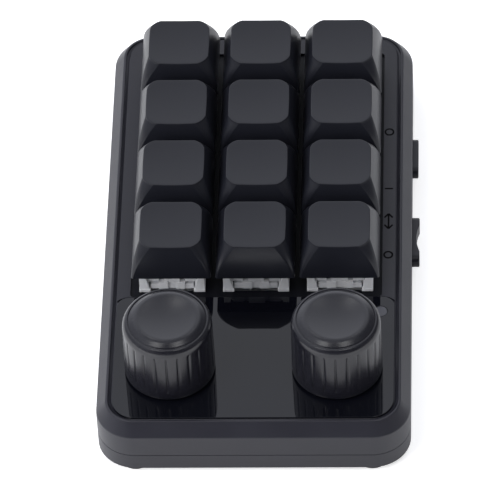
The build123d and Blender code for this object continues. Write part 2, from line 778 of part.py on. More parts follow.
# Side button: long round-ended cap, flange behind the wall, post on the plunger
with BuildPart() as side_button:
    with BuildSketch(wall_plane(plunger_face, button_place)):
        Rectangle(button_post, button_post)
    extrude(amount=flange_back - plunger_face)
    with BuildSketch(wall_plane(flange_back, button_place)):
        Rectangle(button_length + control_flange_margin, control_flange_height)
    extrude(amount=control_flange)
    with BuildSketch(wall_plane(flange_face, button_place)):
        SlotOverall(button_length, button_height)
    extrude(amount=right_wall + button_proud - flange_face)
save(side_button, "side_button")

# Charging socket under the board's rear edge: steel shell, insulator with its tongue
socket_rear = rear_plane(socket_mouth - socket_length)
shell_inner = 2 * socket_wall
insulator_trim = shell_inner + 2 * insulator_clearance
with BuildPart() as socket_shell:
    with BuildSketch(rear_plane(socket_mouth)):
        SlotOverall(socket_width, socket_height)
        SlotOverall(socket_width - shell_inner, socket_height - shell_inner, mode=Mode.SUBTRACT)
    extrude(amount=-socket_length)
save(socket_shell, "socket_shell")

with BuildPart() as socket_tongue:
    with BuildSketch(socket_rear):
        SlotOverall(socket_width - insulator_trim, socket_height - insulator_trim)
    extrude(amount=insulator_length)
    with BuildSketch(socket_rear.offset(insulator_length)):
        Rectangle(tongue_width, tongue_thickness)
    extrude(amount=tongue_length)
save(socket_tongue, "socket_tongue")

# Controller under the board, between two key columns
with BuildPart() as controller_chip:
    with BuildSketch(Plane((key_spacing / 2, well_middle, board_bottom))):
        Rectangle(chip_width, chip_length)
    extrude(amount=-chip_height)
save(controller_chip, "controller_chip")

# Battery on the floor, between the encoders
battery_length = panel_length - front_post_inset - battery_front_gap - battery_rear_gap
battery_place = panel_rear - battery_rear_gap - battery_length / 2
with BuildPart() as battery:
    with BuildSketch(Plane((0, battery_place, floor_level))):
        Rectangle(battery_width, battery_length)
    extrude(amount=battery_height)
save(battery, "battery")
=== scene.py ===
import logging
import math
from dataclasses import dataclass, field
from enum import Enum
from typing import Iterable, Sequence

import bmesh
import bpy
from mathutils import Matrix, Vector


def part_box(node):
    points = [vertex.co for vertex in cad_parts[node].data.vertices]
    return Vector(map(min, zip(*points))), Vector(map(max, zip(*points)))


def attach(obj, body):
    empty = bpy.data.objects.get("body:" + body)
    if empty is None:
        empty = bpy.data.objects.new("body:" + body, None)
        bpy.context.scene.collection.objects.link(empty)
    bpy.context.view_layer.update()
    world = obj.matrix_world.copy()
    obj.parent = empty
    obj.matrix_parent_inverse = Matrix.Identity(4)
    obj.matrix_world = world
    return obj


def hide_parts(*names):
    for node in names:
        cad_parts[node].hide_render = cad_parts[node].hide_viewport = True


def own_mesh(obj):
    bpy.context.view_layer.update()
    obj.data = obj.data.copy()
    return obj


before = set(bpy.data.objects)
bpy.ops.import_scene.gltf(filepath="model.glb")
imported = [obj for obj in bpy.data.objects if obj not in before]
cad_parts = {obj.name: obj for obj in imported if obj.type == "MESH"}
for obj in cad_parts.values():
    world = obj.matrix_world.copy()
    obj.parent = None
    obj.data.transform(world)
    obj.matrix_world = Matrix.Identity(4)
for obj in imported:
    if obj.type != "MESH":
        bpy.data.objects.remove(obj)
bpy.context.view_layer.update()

log = logging.getLogger("macro_keypad")
MM = 0.001

Point = tuple[float, float, float]


def linear(code: str) -> tuple[float, float, float, float]:
    """Turn an sRGB hex value into linear light.

    Args:
        code: six hex digits, with or without a leading hash sign.

    Returns:
        Red, green, blue and an alpha of one.
    """
    digits = code.lstrip("#")
    parts = [int(digits[at:at + 2], 16) / 255 for at in (0, 2, 4)]
    red, green, blue = [part / 12.92 if part <= 0.04045 else ((part + 0.055) / 1.055) ** 2.4 for part in parts]
    return red, green, blue, 1.0


def add_node(tree: bpy.types.NodeTree, kind: str, inputs: dict | None = None, **settings: object) -> bpy.types.Node:
    """Add a node with its settings and links.

    Args:
        tree: the tree that gets the node.
        kind: the node's type name.
        inputs: socket name or number to a value, or to an output socket that is linked to it.
        settings: properties of the node itself.

    Returns:
        The new node.
    """
    node = tree.nodes.new(kind)
    for name, value in settings.items():
        setattr(node, name, value)
    for key, value in (inputs or {}).items():
        if isinstance(value, bpy.types.NodeSocket):
            tree.links.new(value, node.inputs[key])
        else:
            node.inputs[key].default_value = value
    return node


class Look(Enum):
    """How a finish is patterned beyond its grain and clouding."""

    PLAIN = "plain"
    DUSTY = "dusty"
    BRUSHED = "brushed"
    MILKY = "milky"
    TRACED = "traced"


@dataclass(frozen=True)
class Finish:
    """One real material with the surface that its making gave it.

    The pattern sizes are real millimetres; a grain finer than the picture shows is drawn coarser.
    """

    name: str
    slot: str
    colour: str
    second: str
    roughness: float
    swing: float = 0.06
    ior: float = 1.5
    metallic: float = 0.0
    grain_mm: float = 0.35
    grain_depth_mm: float = 0.012
    cloud_mm: float = 9.0
    specular: float = 0.5
    look: Look = Look.PLAIN

    def material(self) -> bpy.types.Material:
        """Make the material, or find it if a piece already has it.

        Returns:
            The material.
        """
        made = bpy.data.materials.get(self.name)
        if made is None:
            made = bpy.data.materials.new(self.name)
            made.use_nodes = True
            made.node_tree.nodes.clear()
            self.wire(made.node_tree)
        return made

    def wire(self, tree: bpy.types.NodeTree) -> None:
        """Wire the shader: clouded colour, uneven roughness and a fine bump.

        Args:
            tree: the material's empty node tree.
        """
        place = add_node(tree, "ShaderNodeTexCoord").outputs["Object"]
        cloud = add_node(tree, "ShaderNodeTexNoise", {
            "Vector": place, "Scale": 1 / (self.cloud_mm * MM), "Detail": 3.0, "Roughness": 0.55,
        })
        grain = self.grain(tree, place)
        tint = add_node(tree, "ShaderNodeMix", {
            "Factor": cloud.outputs["Fac"], "A": linear(self.colour), "B": linear(self.second),
        }, data_type="RGBA")
        colour = tint.outputs["Result"]
        uneven = add_node(tree, "ShaderNodeMath", {0: cloud.outputs["Fac"], 1: grain}, operation="ADD")
        rough = add_node(tree, "ShaderNodeMapRange", {
            "Value": uneven.outputs[0], "From Min": 0.5, "From Max": 1.5,
            "To Min": max(0.0, self.roughness - self.swing), "To Max": self.roughness + self.swing,
        })
        roughness = rough.outputs["Result"]
        if self.look is Look.DUSTY:
            colour, roughness = self.dust(tree, place, colour, roughness)
        if self.look is Look.TRACED:
            colour = self.traces(tree, place, colour)
        bump = add_node(tree, "ShaderNodeBump", {
            "Height": grain, "Strength": 1.0, "Distance": self.grain_depth_mm * MM,
        })
        shader = add_node(tree, "ShaderNodeBsdfPrincipled", {
            "Base Color": colour, "Roughness": roughness, "Normal": bump.outputs["Normal"],
            "IOR": self.ior, "Metallic": self.metallic, "Specular IOR Level": self.specular,
        })
        if self.look is Look.MILKY:
            share, depth_mm, warmth = 0.25, 1.2, (1.0, 0.95, 0.9)
            shader.inputs["Subsurface Weight"].default_value = share
            shader.inputs["Subsurface Scale"].default_value = depth_mm * MM
            shader.inputs["Subsurface Radius"].default_value = warmth
        add_node(tree, "ShaderNodeOutputMaterial", {"Surface": shader.outputs["BSDF"]})

    def grain(self, tree: bpy.types.NodeTree, place: bpy.types.NodeSocket) -> bpy.types.NodeSocket:
        """Add the fine grain: round pits of moulded plastic, or the long scratches of brushing.

        Args:
            tree: the material's tree.
            place: coordinates in metres.

        Returns:
            A height from zero to one.
        """
        if self.look is Look.BRUSHED:
            lengthwise = 0.04
            stretch = add_node(tree, "ShaderNodeMapping", {"Vector": place, "Scale": (1.0, lengthwise, 1.0)})
            place = stretch.outputs["Vector"]
        pits = add_node(tree, "ShaderNodeTexNoise", {
            "Vector": place, "Scale": 1 / (self.grain_mm * MM), "Detail": 2.0, "Roughness": 0.6,
        })
        return pits.outputs["Fac"]

    def dust(self, tree: bpy.types.NodeTree, place: bpy.types.NodeSocket, colour: bpy.types.NodeSocket,
             roughness: bpy.types.NodeSocket) -> tuple[bpy.types.NodeSocket, bpy.types.NodeSocket]:
        """Scatter the few pale specks that settle on a polished dark sheet.

        Args:
            tree: the material's tree.
            place: coordinates in metres.
            colour: the colour below the specks.
            roughness: the roughness below the specks.

        Returns:
            Colour and roughness with the specks on them.
        """
        spacing_mm, speck_share, dulling = 7.0, 0.018, 0.5
        cells = add_node(tree, "ShaderNodeTexVoronoi", {"Vector": place, "Scale": 1 / (spacing_mm * MM)})
        speck = add_node(tree, "ShaderNodeMath", {
            0: cells.outputs["Distance"], 1: speck_share,
        }, operation="LESS_THAN")
        pale = add_node(tree, "ShaderNodeMix", {
            "Factor": speck.outputs[0], "A": colour, "B": linear("#8d8d92"),
        }, data_type="RGBA")
        matte = add_node(tree, "ShaderNodeMath", {
            0: speck.outputs[0], 1: dulling, 2: roughness,
        }, operation="MULTIPLY_ADD")
        return pale.outputs["Result"], matte.outputs[0]

    def traces(self, tree: bpy.types.NodeTree, place: bpy.types.NodeSocket,
               colour: bpy.types.NodeSocket) -> bpy.types.NodeSocket:
        """Let copper tracks show through solder mask as slightly paler squared lines.

        Args:
            tree: the material's tree.
            place: coordinates in metres.
            colour: the mask's own colour.

        Returns:
            The colour with the tracks in it.
        """
        line_mm, run_mm, row_mm = 0.25, 11.0, 1.6
        tracks = add_node(tree, "ShaderNodeTexBrick", {
            "Vector": place, "Scale": 1.0, "Mortar Size": line_mm * MM, "Brick Width": run_mm * MM,
            "Row Height": row_mm * MM,
        })
        paler = add_node(tree, "ShaderNodeMix", {
            "Factor": tracks.outputs["Fac"], "A": colour, "B": linear("#1d4a35"),
        }, data_type="RGBA")
        return paler.outputs["Result"]


# ABS moulded in a spark-eroded tool: dark grey, with a soft even sheen that whitens at a low angle
CASE_ABS = Finish("abs_spark_textured_case", "case_plastic", "#25252c", "#2a2a32", 0.36, ior=1.47)
# ABS of the rails: the same tool texture, a little finer and darker
COVER_ABS = Finish("abs_fine_matte_cover", "cover_plastic", "#17171f", "#1c1c25", 0.4, grain_mm=0.25)
# Cast acrylic, polished: black glass to the eye, with a sharp picture of what stands behind it
PANEL_ACRYLIC = Finish("acrylic_polished_black", "panel_acrylic", "#0a0b11", "#0d0e15", 0.03, 0.02, 1.53,
                       grain_mm=2.5, grain_depth_mm=0.0004, cloud_mm=14.0, look=Look.DUSTY)
# Polycarbonate, frosted: a milky light spot
LENS_PC = Finish("polycarbonate_frosted_lens", "window_plastic", "#4c4d54", "#585960", 0.35, grain_mm=0.2,
                 look=Look.MILKY)
# PBT of the keycaps: sand-like fine grain, deep black with a silky sheen
KEYCAP_PBT = Finish("pbt_fine_grained_keycap", "keycap_plastic", "#191a20", "#1e1f26", 0.3, 0.04, 1.46,
                    grain_mm=0.22, grain_depth_mm=0.006, specular=0.42)
# ABS of the knobs: satin moulding with soft highlights
KNOB_ABS = Finish("abs_satin_knob", "knob_plastic", "#17171d", "#1b1b22", 0.25, 0.04, 1.56,
                  grain_mm=0.2, grain_depth_mm=0.006)
# ABS of the side controls: like the knobs, rubbed a little smoother
CONTROL_ABS = Finish("abs_satin_side_control", "control_plastic", "#16161d", "#1b1b23", 0.34, ior=1.48,
                     grain_mm=0.2)
# Nylon, natural and moulded: milky white that light enters a little
SWITCH_NYLON = Finish("nylon_natural_moulded", "switch_nylon", "#d8d9dd", "#e4e5e8", 0.42, 0.05, 1.53,
                      grain_mm=0.3, grain_depth_mm=0.006, look=Look.MILKY)
# Acetal of the stems: waxy grey
STEM_ACETAL = Finish("acetal_moulded_stem", "stem_plastic", "#b9b9b6", "#c4c4c1", 0.35, 0.05, 1.48)
# Steel plate, powder coated: flat black with a slight orange peel
PLATE_STEEL = Finish("steel_powder_coated_plate", "plate_steel", "#08090f", "#0b0c13", 0.42, 0.08, 1.45,
                     grain_mm=0.5, specular=0.2)
# Glass laminate under solder mask: dark green, copper showing through
BOARD_LAMINATE = Finish("glass_laminate_solder_mask", "board_laminate", "#0d2b1e", "#113424", 0.3,
                        look=Look.TRACED)
# Music wire, drawn: bright grey with lengthwise die lines
SPRING_STEEL = Finish("steel_drawn_wire", "spring_steel", "#b4b5b8", "#c3c4c7", 0.28, 0.08, metallic=1.0,
                      look=Look.BRUSHED)
# Steel sheet, nickel plated: pale and faintly brushed
PLATED_STEEL = Finish("steel_nickel_plated", "encoder_metal", "#b9b7b2", "#c6c4bf", 0.26, 0.08, metallic=1.0,
                      look=Look.BRUSHED)
# Aluminium, turned: pale, with tool lines
TURNED_ALUMINIUM = Finish("aluminium_turned_shaft", "shaft_metal", "#c9cacc", "#d5d6d8", 0.3, 0.08,
                          metallic=1.0, look=Look.BRUSHED)
# Steel screws, black oxide: nearly black with an oily sheen
SCREW_STEEL = Finish("steel_black_oxide_screw", "screw_steel", "#2b2b2e", "#38383b", 0.34, 0.08, metallic=1.0)
# Phenolic moulding inside switches: dull dark grey
PHENOLIC = Finish("phenolic_moulded", "encoder_plastic", "#232325", "#2a2a2c", 0.5)
# Silicone rubber feet: flat dark grey
FOOT_RUBBER = Finish("silicone_rubber_foot", "foot_rubber", "#1a1a1b", "#222223", 0.72, 0.08, 1.41,
                     grain_mm=0.4)
# Epoxy chip package: dull black
CHIP_EPOXY = Finish("epoxy_moulded_package", "chip_epoxy", "#191919", "#202020", 0.55)
# Pouch cell in laminated foil: dull silver
CELL_FOIL = Finish("foil_laminated_cell", "battery_foil", "#a9aaad", "#bcbdc0", 0.38, 0.1, metallic=1.0,
                   grain_mm=1.5, grain_depth_mm=0.03)
# Light chip in clear resin: yellowish
LED_RESIN = Finish("epoxy_clear_light", "light_epoxy", "#e0d28c", "#e8dc9c", 0.15)
# Lacquer of the signs: flat black, hardly any sheen beside the rail
MARK_LACQUER = Finish("lacquer_filled_engraving", "cover_plastic", "#050507", "#08080a", 0.8, specular=0.12)
# Paper sweep under the object: white and matte, with a faint unevenness
SWEEP_PAPER = Finish("paper_matte_sweep", "", "#fdfdfd", "#ffffff", 0.85, 0.03, grain_mm=3.0, grain_depth_mm=0.01,
                     cloud_mm=400.0)


def round_trip(sides: int) -> list[tuple[float, float]]:
    """Give the points of a circle of radius one, evenly spaced."""
    turns = [2 * math.pi * at / sides for at in range(sides)]
    return [(math.cos(turn), math.sin(turn)) for turn in turns]


@dataclass
class Draft:
    """A mesh in the making, in millimetres."""

    points: list[Point] = field(default_factory=list)
    faces: list[tuple[int, ...]] = field(default_factory=list)

    def loop(self, points: Iterable[Point]) -> list[int]:
        """Add points.

        Args:
            points: where they are.

        Returns:
            Their numbers.
        """
        start = len(self.points)
        self.points.extend(points)
        return list(range(start, len(self.points)))

    def skin(self, low: Sequence[int], high: Sequence[int]) -> None:
        """Join two closed loops of equal count with four-sided faces.

        Args:
            low: the first loop.
            high: the second loop.
        """
        count = len(low)
        for at in range(count):
            after = (at + 1) % count
            self.faces.append((low[at], low[after], high[after], high[at]))

    def stack(self, loops: Sequence[Sequence[int]]) -> None:
        """Join each loop with the next."""
        for low, high in zip(loops, loops[1:]):
            self.skin(low, high)

    def fan(self, loop: Sequence[int], middle: Point) -> None:
        """Close a loop with three-sided faces to one point.

        Args:
            loop: the loop.
            middle: the point.
        """
        hub = self.loop([middle])[0]
        for at, corner in enumerate(loop):
            self.faces.append((corner, loop[(at + 1) % len(loop)], hub))

    def lid(self, loop: Sequence[int]) -> None:
        """Close a loop with one flat face."""
        self.faces.append(tuple(loop))

    def block(self, low: Point, high: Point, top: tuple[float, float, float, float] | None = None) -> None:
        """Add a block, drafted if its top is given apart.

        Args:
            low: lowest corner.
            high: highest corner.
            top: least x, most x, least y and most y at the top.
        """
        left, right, front, back = top or (low[0], high[0], low[1], high[1])
        below = self.loop([(low[0], low[1], low[2]), (high[0], low[1], low[2]),
                           (high[0], high[1], low[2]), (low[0], high[1], low[2])])
        above = self.loop([(left, front, high[2]), (right, front, high[2]),
                           (right, back, high[2]), (left, back, high[2])])
        self.lid(below[::-1])
        self.skin(below, above)
        self.lid(above)

    def turned(self, profile: Sequence[tuple[float, float]], centre: Point, sides: int) -> list[list[int]]:
        """Turn a profile of radius and height about an upright axis, open at both ends.

        Args:
            profile: radius and height pairs.
            centre: a point on the axis.
            sides: how many points go round.

        Returns:
            The loops, one for each pair.
        """
        loops = []
        for radius, height in profile:
            loops.append(self.loop([(centre[0] + radius * across, centre[1] + radius * along, centre[2] + height)
                                    for across, along in round_trip(sides)]))
        self.stack(loops)
        return loops

    def copies(self, places: Iterable[Point]) -> "Draft":
        """Repeat the mesh at several places.

        Args:
            places: where each copy's origin goes.

        Returns:
            A new mesh that holds them all.
        """
        whole = Draft()
        for place in places:
            start = len(whole.points)
            whole.points.extend((x + place[0], y + place[1], z + place[2]) for x, y, z in self.points)
            whole.faces.extend(tuple(corner + start for corner in face) for face in self.faces)
        return whole

    def mesh(self, name: str, crease_deg: float = 38.0) -> bpy.types.Mesh:
        """Turn the draft into a smooth-shaded mesh with sharp edges where it bends hard.

        Args:
            name: the mesh's name.
            crease_deg: edges that bend more than this stay sharp.

        Returns:
            The mesh, in metres.
        """
        made = bpy.data.meshes.new(name)
        made.from_pydata([(x * MM, y * MM, z * MM) for x, y, z in self.points], [], self.faces)
        work = bmesh.new()
        work.from_mesh(made)
        bmesh.ops.recalc_face_normals(work, faces=work.faces)
        for face in work.faces:
            face.smooth = True
        for edge in work.edges:
            edge.smooth = len(edge.link_faces) == 2 and edge.calc_face_angle(0.0) < math.radians(crease_deg)
        work.to_mesh(made)
        work.free()
        return made


def place_piece(name: str, mesh: bpy.types.Mesh, finish: Finish, body: str, replaces: Sequence[str] = (),
                at: Point = (0.0, 0.0, 0.0), edge_mm: float = 0.0) -> bpy.types.Object:
    """Put a mesh in the scene, dress it and let it ride on its body.

    Args:
        name: the piece's name.
        mesh: its mesh.
        finish: its finish.
        body: the moving body that carries it.
        replaces: nodes of the frame that it stands for.
        at: where its origin goes, in millimetres.
        edge_mm: how wide its sharp edges are rounded, or zero.

    Returns:
        The piece.
    """
    piece = bpy.data.objects.new(name, mesh)
    bpy.context.scene.collection.objects.link(piece)
    piece.location = Vector(at) * MM
    if not mesh.materials:
        mesh.materials.append(finish.material())
    if edge_mm > 0:
        soften(piece, edge_mm)
    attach(piece, body)
    if replaces:
        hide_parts(*replaces)
    log.info("piece %s rides on %s, finish %s", name, body, finish.name)
    return piece


# What counts as one point, as flat and as an edge, and how much large faces rule the shading
JOIN_MM, FLAT_DEG, EDGE_DEG, FACE_WEIGHT = 0.002, 0.6, 28.0, 60


def soften(piece: bpy.types.Object, edge_mm: float, segments: int = 2) -> None:
    """Round a piece's sharp edges with modifiers, its own mesh left as it is.

    Args:
        piece: the object.
        edge_mm: the rounding's width.
        segments: steps of the rounding.
    """
    weld = piece.modifiers.new("join_points", "WELD")
    weld.merge_threshold = JOIN_MM * MM
    flat = piece.modifiers.new("merge_flat_faces", "DECIMATE")
    flat.decimate_type = "DISSOLVE"
    flat.angle_limit = math.radians(FLAT_DEG)
    bevel = piece.modifiers.new("moulded_edge", "BEVEL")
    bevel.width = edge_mm * MM
    bevel.segments = segments
    bevel.limit_method = "ANGLE"
    bevel.angle_limit = math.radians(EDGE_DEG)
    bevel.use_clamp_overlap = True
    even = piece.modifiers.new("even_shading", "WEIGHTED_NORMAL")
    even.mode = "FACE_AREA"
    even.weight = FACE_WEIGHT


def dress(node: str, finish: Finish, edge_mm: float = 0.0, segments: int = 2) -> None:
    """Give a node of the frame its finish and softened edges.

    Args:
        node: the node's name.
        finish: its finish.
        edge_mm: how wide its edges are rounded, or zero.
        segments: steps of the rounding.
    """
    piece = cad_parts[node]
    for holder in piece.material_slots:
        holder.material = finish.material()
    if edge_mm > 0:
        soften(piece, edge_mm, segments)
    log.info("node %s keeps its solid, finish %s", node, finish.name)


def middle_of(node: str) -> Point:
    """Give the middle of a node's box, in millimetres."""
    low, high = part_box(node)
    return tuple((low + high) / 2 / MM)


@dataclass
class Case:
    """The two shells, feet and screws, the inner cover with its step and signs, the gloss panel and its window."""

    shell_edge_mm: float = 0.3
    cover_edge_mm: float = 0.28
    panel_edge_mm: float = 0.1
    light_edge_mm: float = 0.06
    edge_steps: int = 3
    step_radius: float = 6.0
    step_drop: float = 0.25
    step_dip: float = 0.3
    step_width: float = 0.9
    corner_steps: int = 10
    foot_radius: float = 4.0
    foot_round: float = 0.16
    foot_share: float = 0.3
    foot_bevel: float = 0.1
    sole_hollow: float = 0.12
    sole_rim: float = 1.0
    sole_slope: float = 0.2
    foot_sides: int = 40
    screw_head_radius: float = 1.9
    screw_head_height: float = 1.2
    screw_head_bevel: float = 0.25
    screw_cross_half: float = 0.32
    screw_cross_reach: float = 1.15
    screw_cross_depth: float = 0.7
    screw_cross_taper: float = 0.8
    shank_radius: float = 1.0
    shank_end_radius: float = 0.4
    shank_point: float = 0.6
    shank_sides: int = 16
    round_sides: int = 32
    lens_radius: float = 1.5
    lens_side_drop: float = 0.12
    lens_round: float = 0.1
    lens_crown_drop: float = 0.02
    lens_flat: float = 0.6
    mark_lift: float = 0.02
    mark_x: float = 29.9
    mark_reach: float = 0.95
    mark_stroke: float = 0.4
    button_mark_y: float = 28.2
    on_mark_y: float = 10.4
    off_mark_y: float = -10.0
    arrow_tips_y: tuple[float, float] = (2.6, -2.0)
    arrow_barb: float = 1.2
    arrow_inset: float = 0.3

    def build(self) -> None:
        """Dress the shells, and build the step, feet, screws, window and signs."""
        dress("outer_frame", CASE_ABS, self.shell_edge_mm, self.edge_steps)
        dress("bottom_case", CASE_ABS, self.shell_edge_mm, self.edge_steps)
        dress("inner_cover", COVER_ABS, self.cover_edge_mm, self.edge_steps)
        dress("gloss_panel", PANEL_ACRYLIC, self.panel_edge_mm)
        dress("status_light", LED_RESIN, self.light_edge_mm)
        self.step()
        self.feet()
        self.screws()
        self.window()
        self.marks()

    def step(self) -> None:
        """Lay the frame's narrow hollow step along the groove round the cover."""
        low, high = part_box("inner_cover")
        corners = ((high.x, high.y), (low.x, high.y), (low.x, low.y), (high.x, low.y))
        radius, half, deep = self.step_radius, self.step_width / 2, self.step_drop + self.step_dip
        loops = []
        step = Draft()
        for inset, drop in ((-half, self.step_drop), (half / 2, deep), (half * 2, self.step_drop)):
            ring = []
            reach = radius + inset
            for quarter, (x, y) in enumerate(corners):
                side_x, side_y = math.copysign(1, x), math.copysign(1, y)
                for at in range(self.corner_steps + 1):
                    turn = math.pi / 2 * (quarter + at / self.corner_steps)
                    ring.append((x / MM - side_x * radius + reach * math.cos(turn),
                                 y / MM - side_y * radius + reach * math.sin(turn), high.z / MM - drop))
            loops.append(step.loop(ring))
        step.stack(loops)
        place_piece("frame_step", step.mesh("frame_step"), CASE_ABS, "base")

    def feet(self) -> None:
        """Turn four rubber feet with a rounded lower rim and a shallow sole."""
        low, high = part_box("foot_pads")
        height = (high.z - low.z) / MM
        reach, bend, bevel = self.foot_radius, self.foot_round, self.foot_bevel
        rim, hollow, midway = reach - self.sole_rim, self.sole_hollow, bend * self.foot_share
        foot = Draft()
        profile = [(rim - self.sole_slope, hollow), (rim, 0.0), (reach - bend, 0.0), (reach - midway, midway),
                   (reach, bend), (reach, height - bevel), (reach - bevel, height)]
        loops = foot.turned(profile, (0, 0, 0), self.foot_sides)
        foot.fan(loops[0], (0, 0, hollow))
        foot.lid(loops[-1])
        mesh = foot.copies(self.four_spots(low, high, reach, 0.0)).mesh("rubber_feet")
        place_piece("rubber_feet", mesh, FOOT_RUBBER, "base", ["foot_pads"])

    def four_spots(self, low: Vector, high: Vector, inset: float, level: float) -> list[Point]:
        """Give the four corners of a box in metres, moved in and set on a level, all in millimetres."""
        return [(x, y, level) for x in (low.x / MM + inset, high.x / MM - inset)
                for y in (low.y / MM + inset, high.y / MM - inset)]

    def screws(self) -> None:
        """Turn four screws with a cross recess sunk in each head and a plain shank."""
        low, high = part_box("case_screws")
        reach, head, bevel = self.screw_head_radius, self.screw_head_height, self.screw_head_bevel
        shank, length, taper = self.shank_radius, (high.z - low.z) / MM, self.screw_cross_taper
        screw = Draft()
        cross = cross_outline(self.screw_cross_reach, self.screw_cross_half, self.screw_cross_half)
        turns = [math.atan2(y, x) for x, y in cross]
        loops = [screw.loop([(radius * math.cos(turn), radius * math.sin(turn), z) for turn in turns])
                 for radius, z in ((reach, head), (reach, bevel), (reach - bevel, 0.0))]
        loops += [screw.loop([(x * share, y * share, z) for x, y in cross])
                  for share, z in ((1.0, 0.0), (taper, self.screw_cross_depth))]
        screw.stack(loops)
        screw.lid(loops[-1])
        thread = screw.turned([(shank, head), (shank, length - self.shank_point), (self.shank_end_radius, length)],
                              (0, 0, 0), self.shank_sides)
        screw.lid(thread[-1])
        screw.turned([(reach, head), (shank, head)], (0, 0, 0), self.round_sides)
        mesh = screw.copies(self.four_spots(low, high, reach, low.z / MM)).mesh("case_screw_set")
        place_piece("case_screw_set", mesh, SCREW_STEEL, "base", ["case_screws"])

    def window(self) -> None:
        """Turn the round window with a softly domed face."""
        low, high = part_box("status_window")
        x, y, _ = middle_of("status_window")
        reach, height = self.lens_radius, (high.z - low.z) / MM
        lens = Draft()
        profile = [(reach, 0.0), (reach, height - self.lens_side_drop),
                   (reach - self.lens_round, height - self.lens_crown_drop), (reach * self.lens_flat, height)]
        loops = lens.turned(profile, (x, y, low.z / MM), self.round_sides)
        lens.lid(loops[0][::-1])
        lens.fan(loops[-1], (x, y, high.z / MM))
        place_piece("status_lens", lens.mesh("status_lens"), LENS_PC, "base", ["status_window"])

    def marks(self) -> None:
        """Lay generic signs by the side controls: a ring at the button, and bar, arrows and ring at the slide."""
        _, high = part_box("inner_cover")
        level = high.z / MM
        signs = Draft()
        middle, reach, stroke = self.mark_x, self.mark_reach, self.mark_stroke
        rear, front = self.arrow_tips_y
        self.ring(signs, (middle, self.button_mark_y), reach, stroke, level)
        self.bar(signs, (middle - reach, self.on_mark_y), (middle + reach, self.on_mark_y), stroke, level)
        for tip, end in ((rear, rear - self.arrow_barb), (front, front + self.arrow_barb)):
            for side in (-reach, reach):
                self.bar(signs, (middle, tip), (middle + side, end), stroke, level)
        self.bar(signs, (middle, front + self.arrow_inset), (middle, rear - self.arrow_inset), stroke, level)
        self.ring(signs, (middle, self.off_mark_y), reach, stroke, level)
        place_piece("rail_signs", signs.mesh("rail_signs"), MARK_LACQUER, "base")

    def bar(self, signs: Draft, start: tuple[float, float], end: tuple[float, float], width: float,
            level: float) -> None:
        """Draw one straight stroke as a thin raised strip of lacquer.

        Args:
            signs: the mesh that gets it.
            start: one end.
            end: the other end.
            width: the stroke's width.
            level: height of the surface.
        """
        along = Vector((end[0] - start[0], end[1] - start[1]))
        side = Vector((-along.y, along.x)).normalized() * (width / 2)
        corners = [Vector(start) - side, Vector(end) - side, Vector(end) + side, Vector(start) + side]
        low = signs.loop([(spot.x, spot.y, level - self.mark_lift) for spot in corners])
        high = signs.loop([(spot.x, spot.y, level + self.mark_lift) for spot in corners])
        signs.skin(low, high)
        signs.lid(high)

    def ring(self, signs: Draft, middle: tuple[float, float], radius: float, width: float, level: float) -> None:
        """Draw a ring as a thin raised strip of lacquer.

        Args:
            signs: the mesh that gets it.
            middle: the ring's middle.
            radius: of the stroke's centre line.
            width: the stroke's width.
            level: height of the surface.
        """
        inside, outside, lift = radius - width / 2, radius + width / 2, self.mark_lift
        profile = [(inside, -lift), (inside, lift), (outside, lift), (outside, -lift)]
        signs.turned(profile, (*middle, level), self.round_sides)


def cross_outline(arm: float, half_x: float, half_y: float) -> list[tuple[float, float]]:
    """Draw a cross of two bars with a point at each corner and midway between corners.

    Args:
        arm: half the bars' length.
        half_x: half the width of the bar along y.
        half_y: half the width of the bar along x.

    Returns:
        Points in order round the outline.
    """
    corners = [(arm, -half_y), (arm, half_y), (half_x, half_y), (half_x, arm), (-half_x, arm), (-half_x, half_y),
               (-arm, half_y), (-arm, -half_y), (-half_x, -half_y), (-half_x, -arm), (half_x, -arm),
               (half_x, -half_y)]
    outline = []
    for at, (x, y) in enumerate(corners):
        next_x, next_y = corners[(at + 1) % len(corners)]
        outline += [(x, y), ((x + next_x) / 2, (y + next_y) / 2)]
    return outline


# The keys, counted from the rear left
KEY_NUMBERS = range(1, 13)


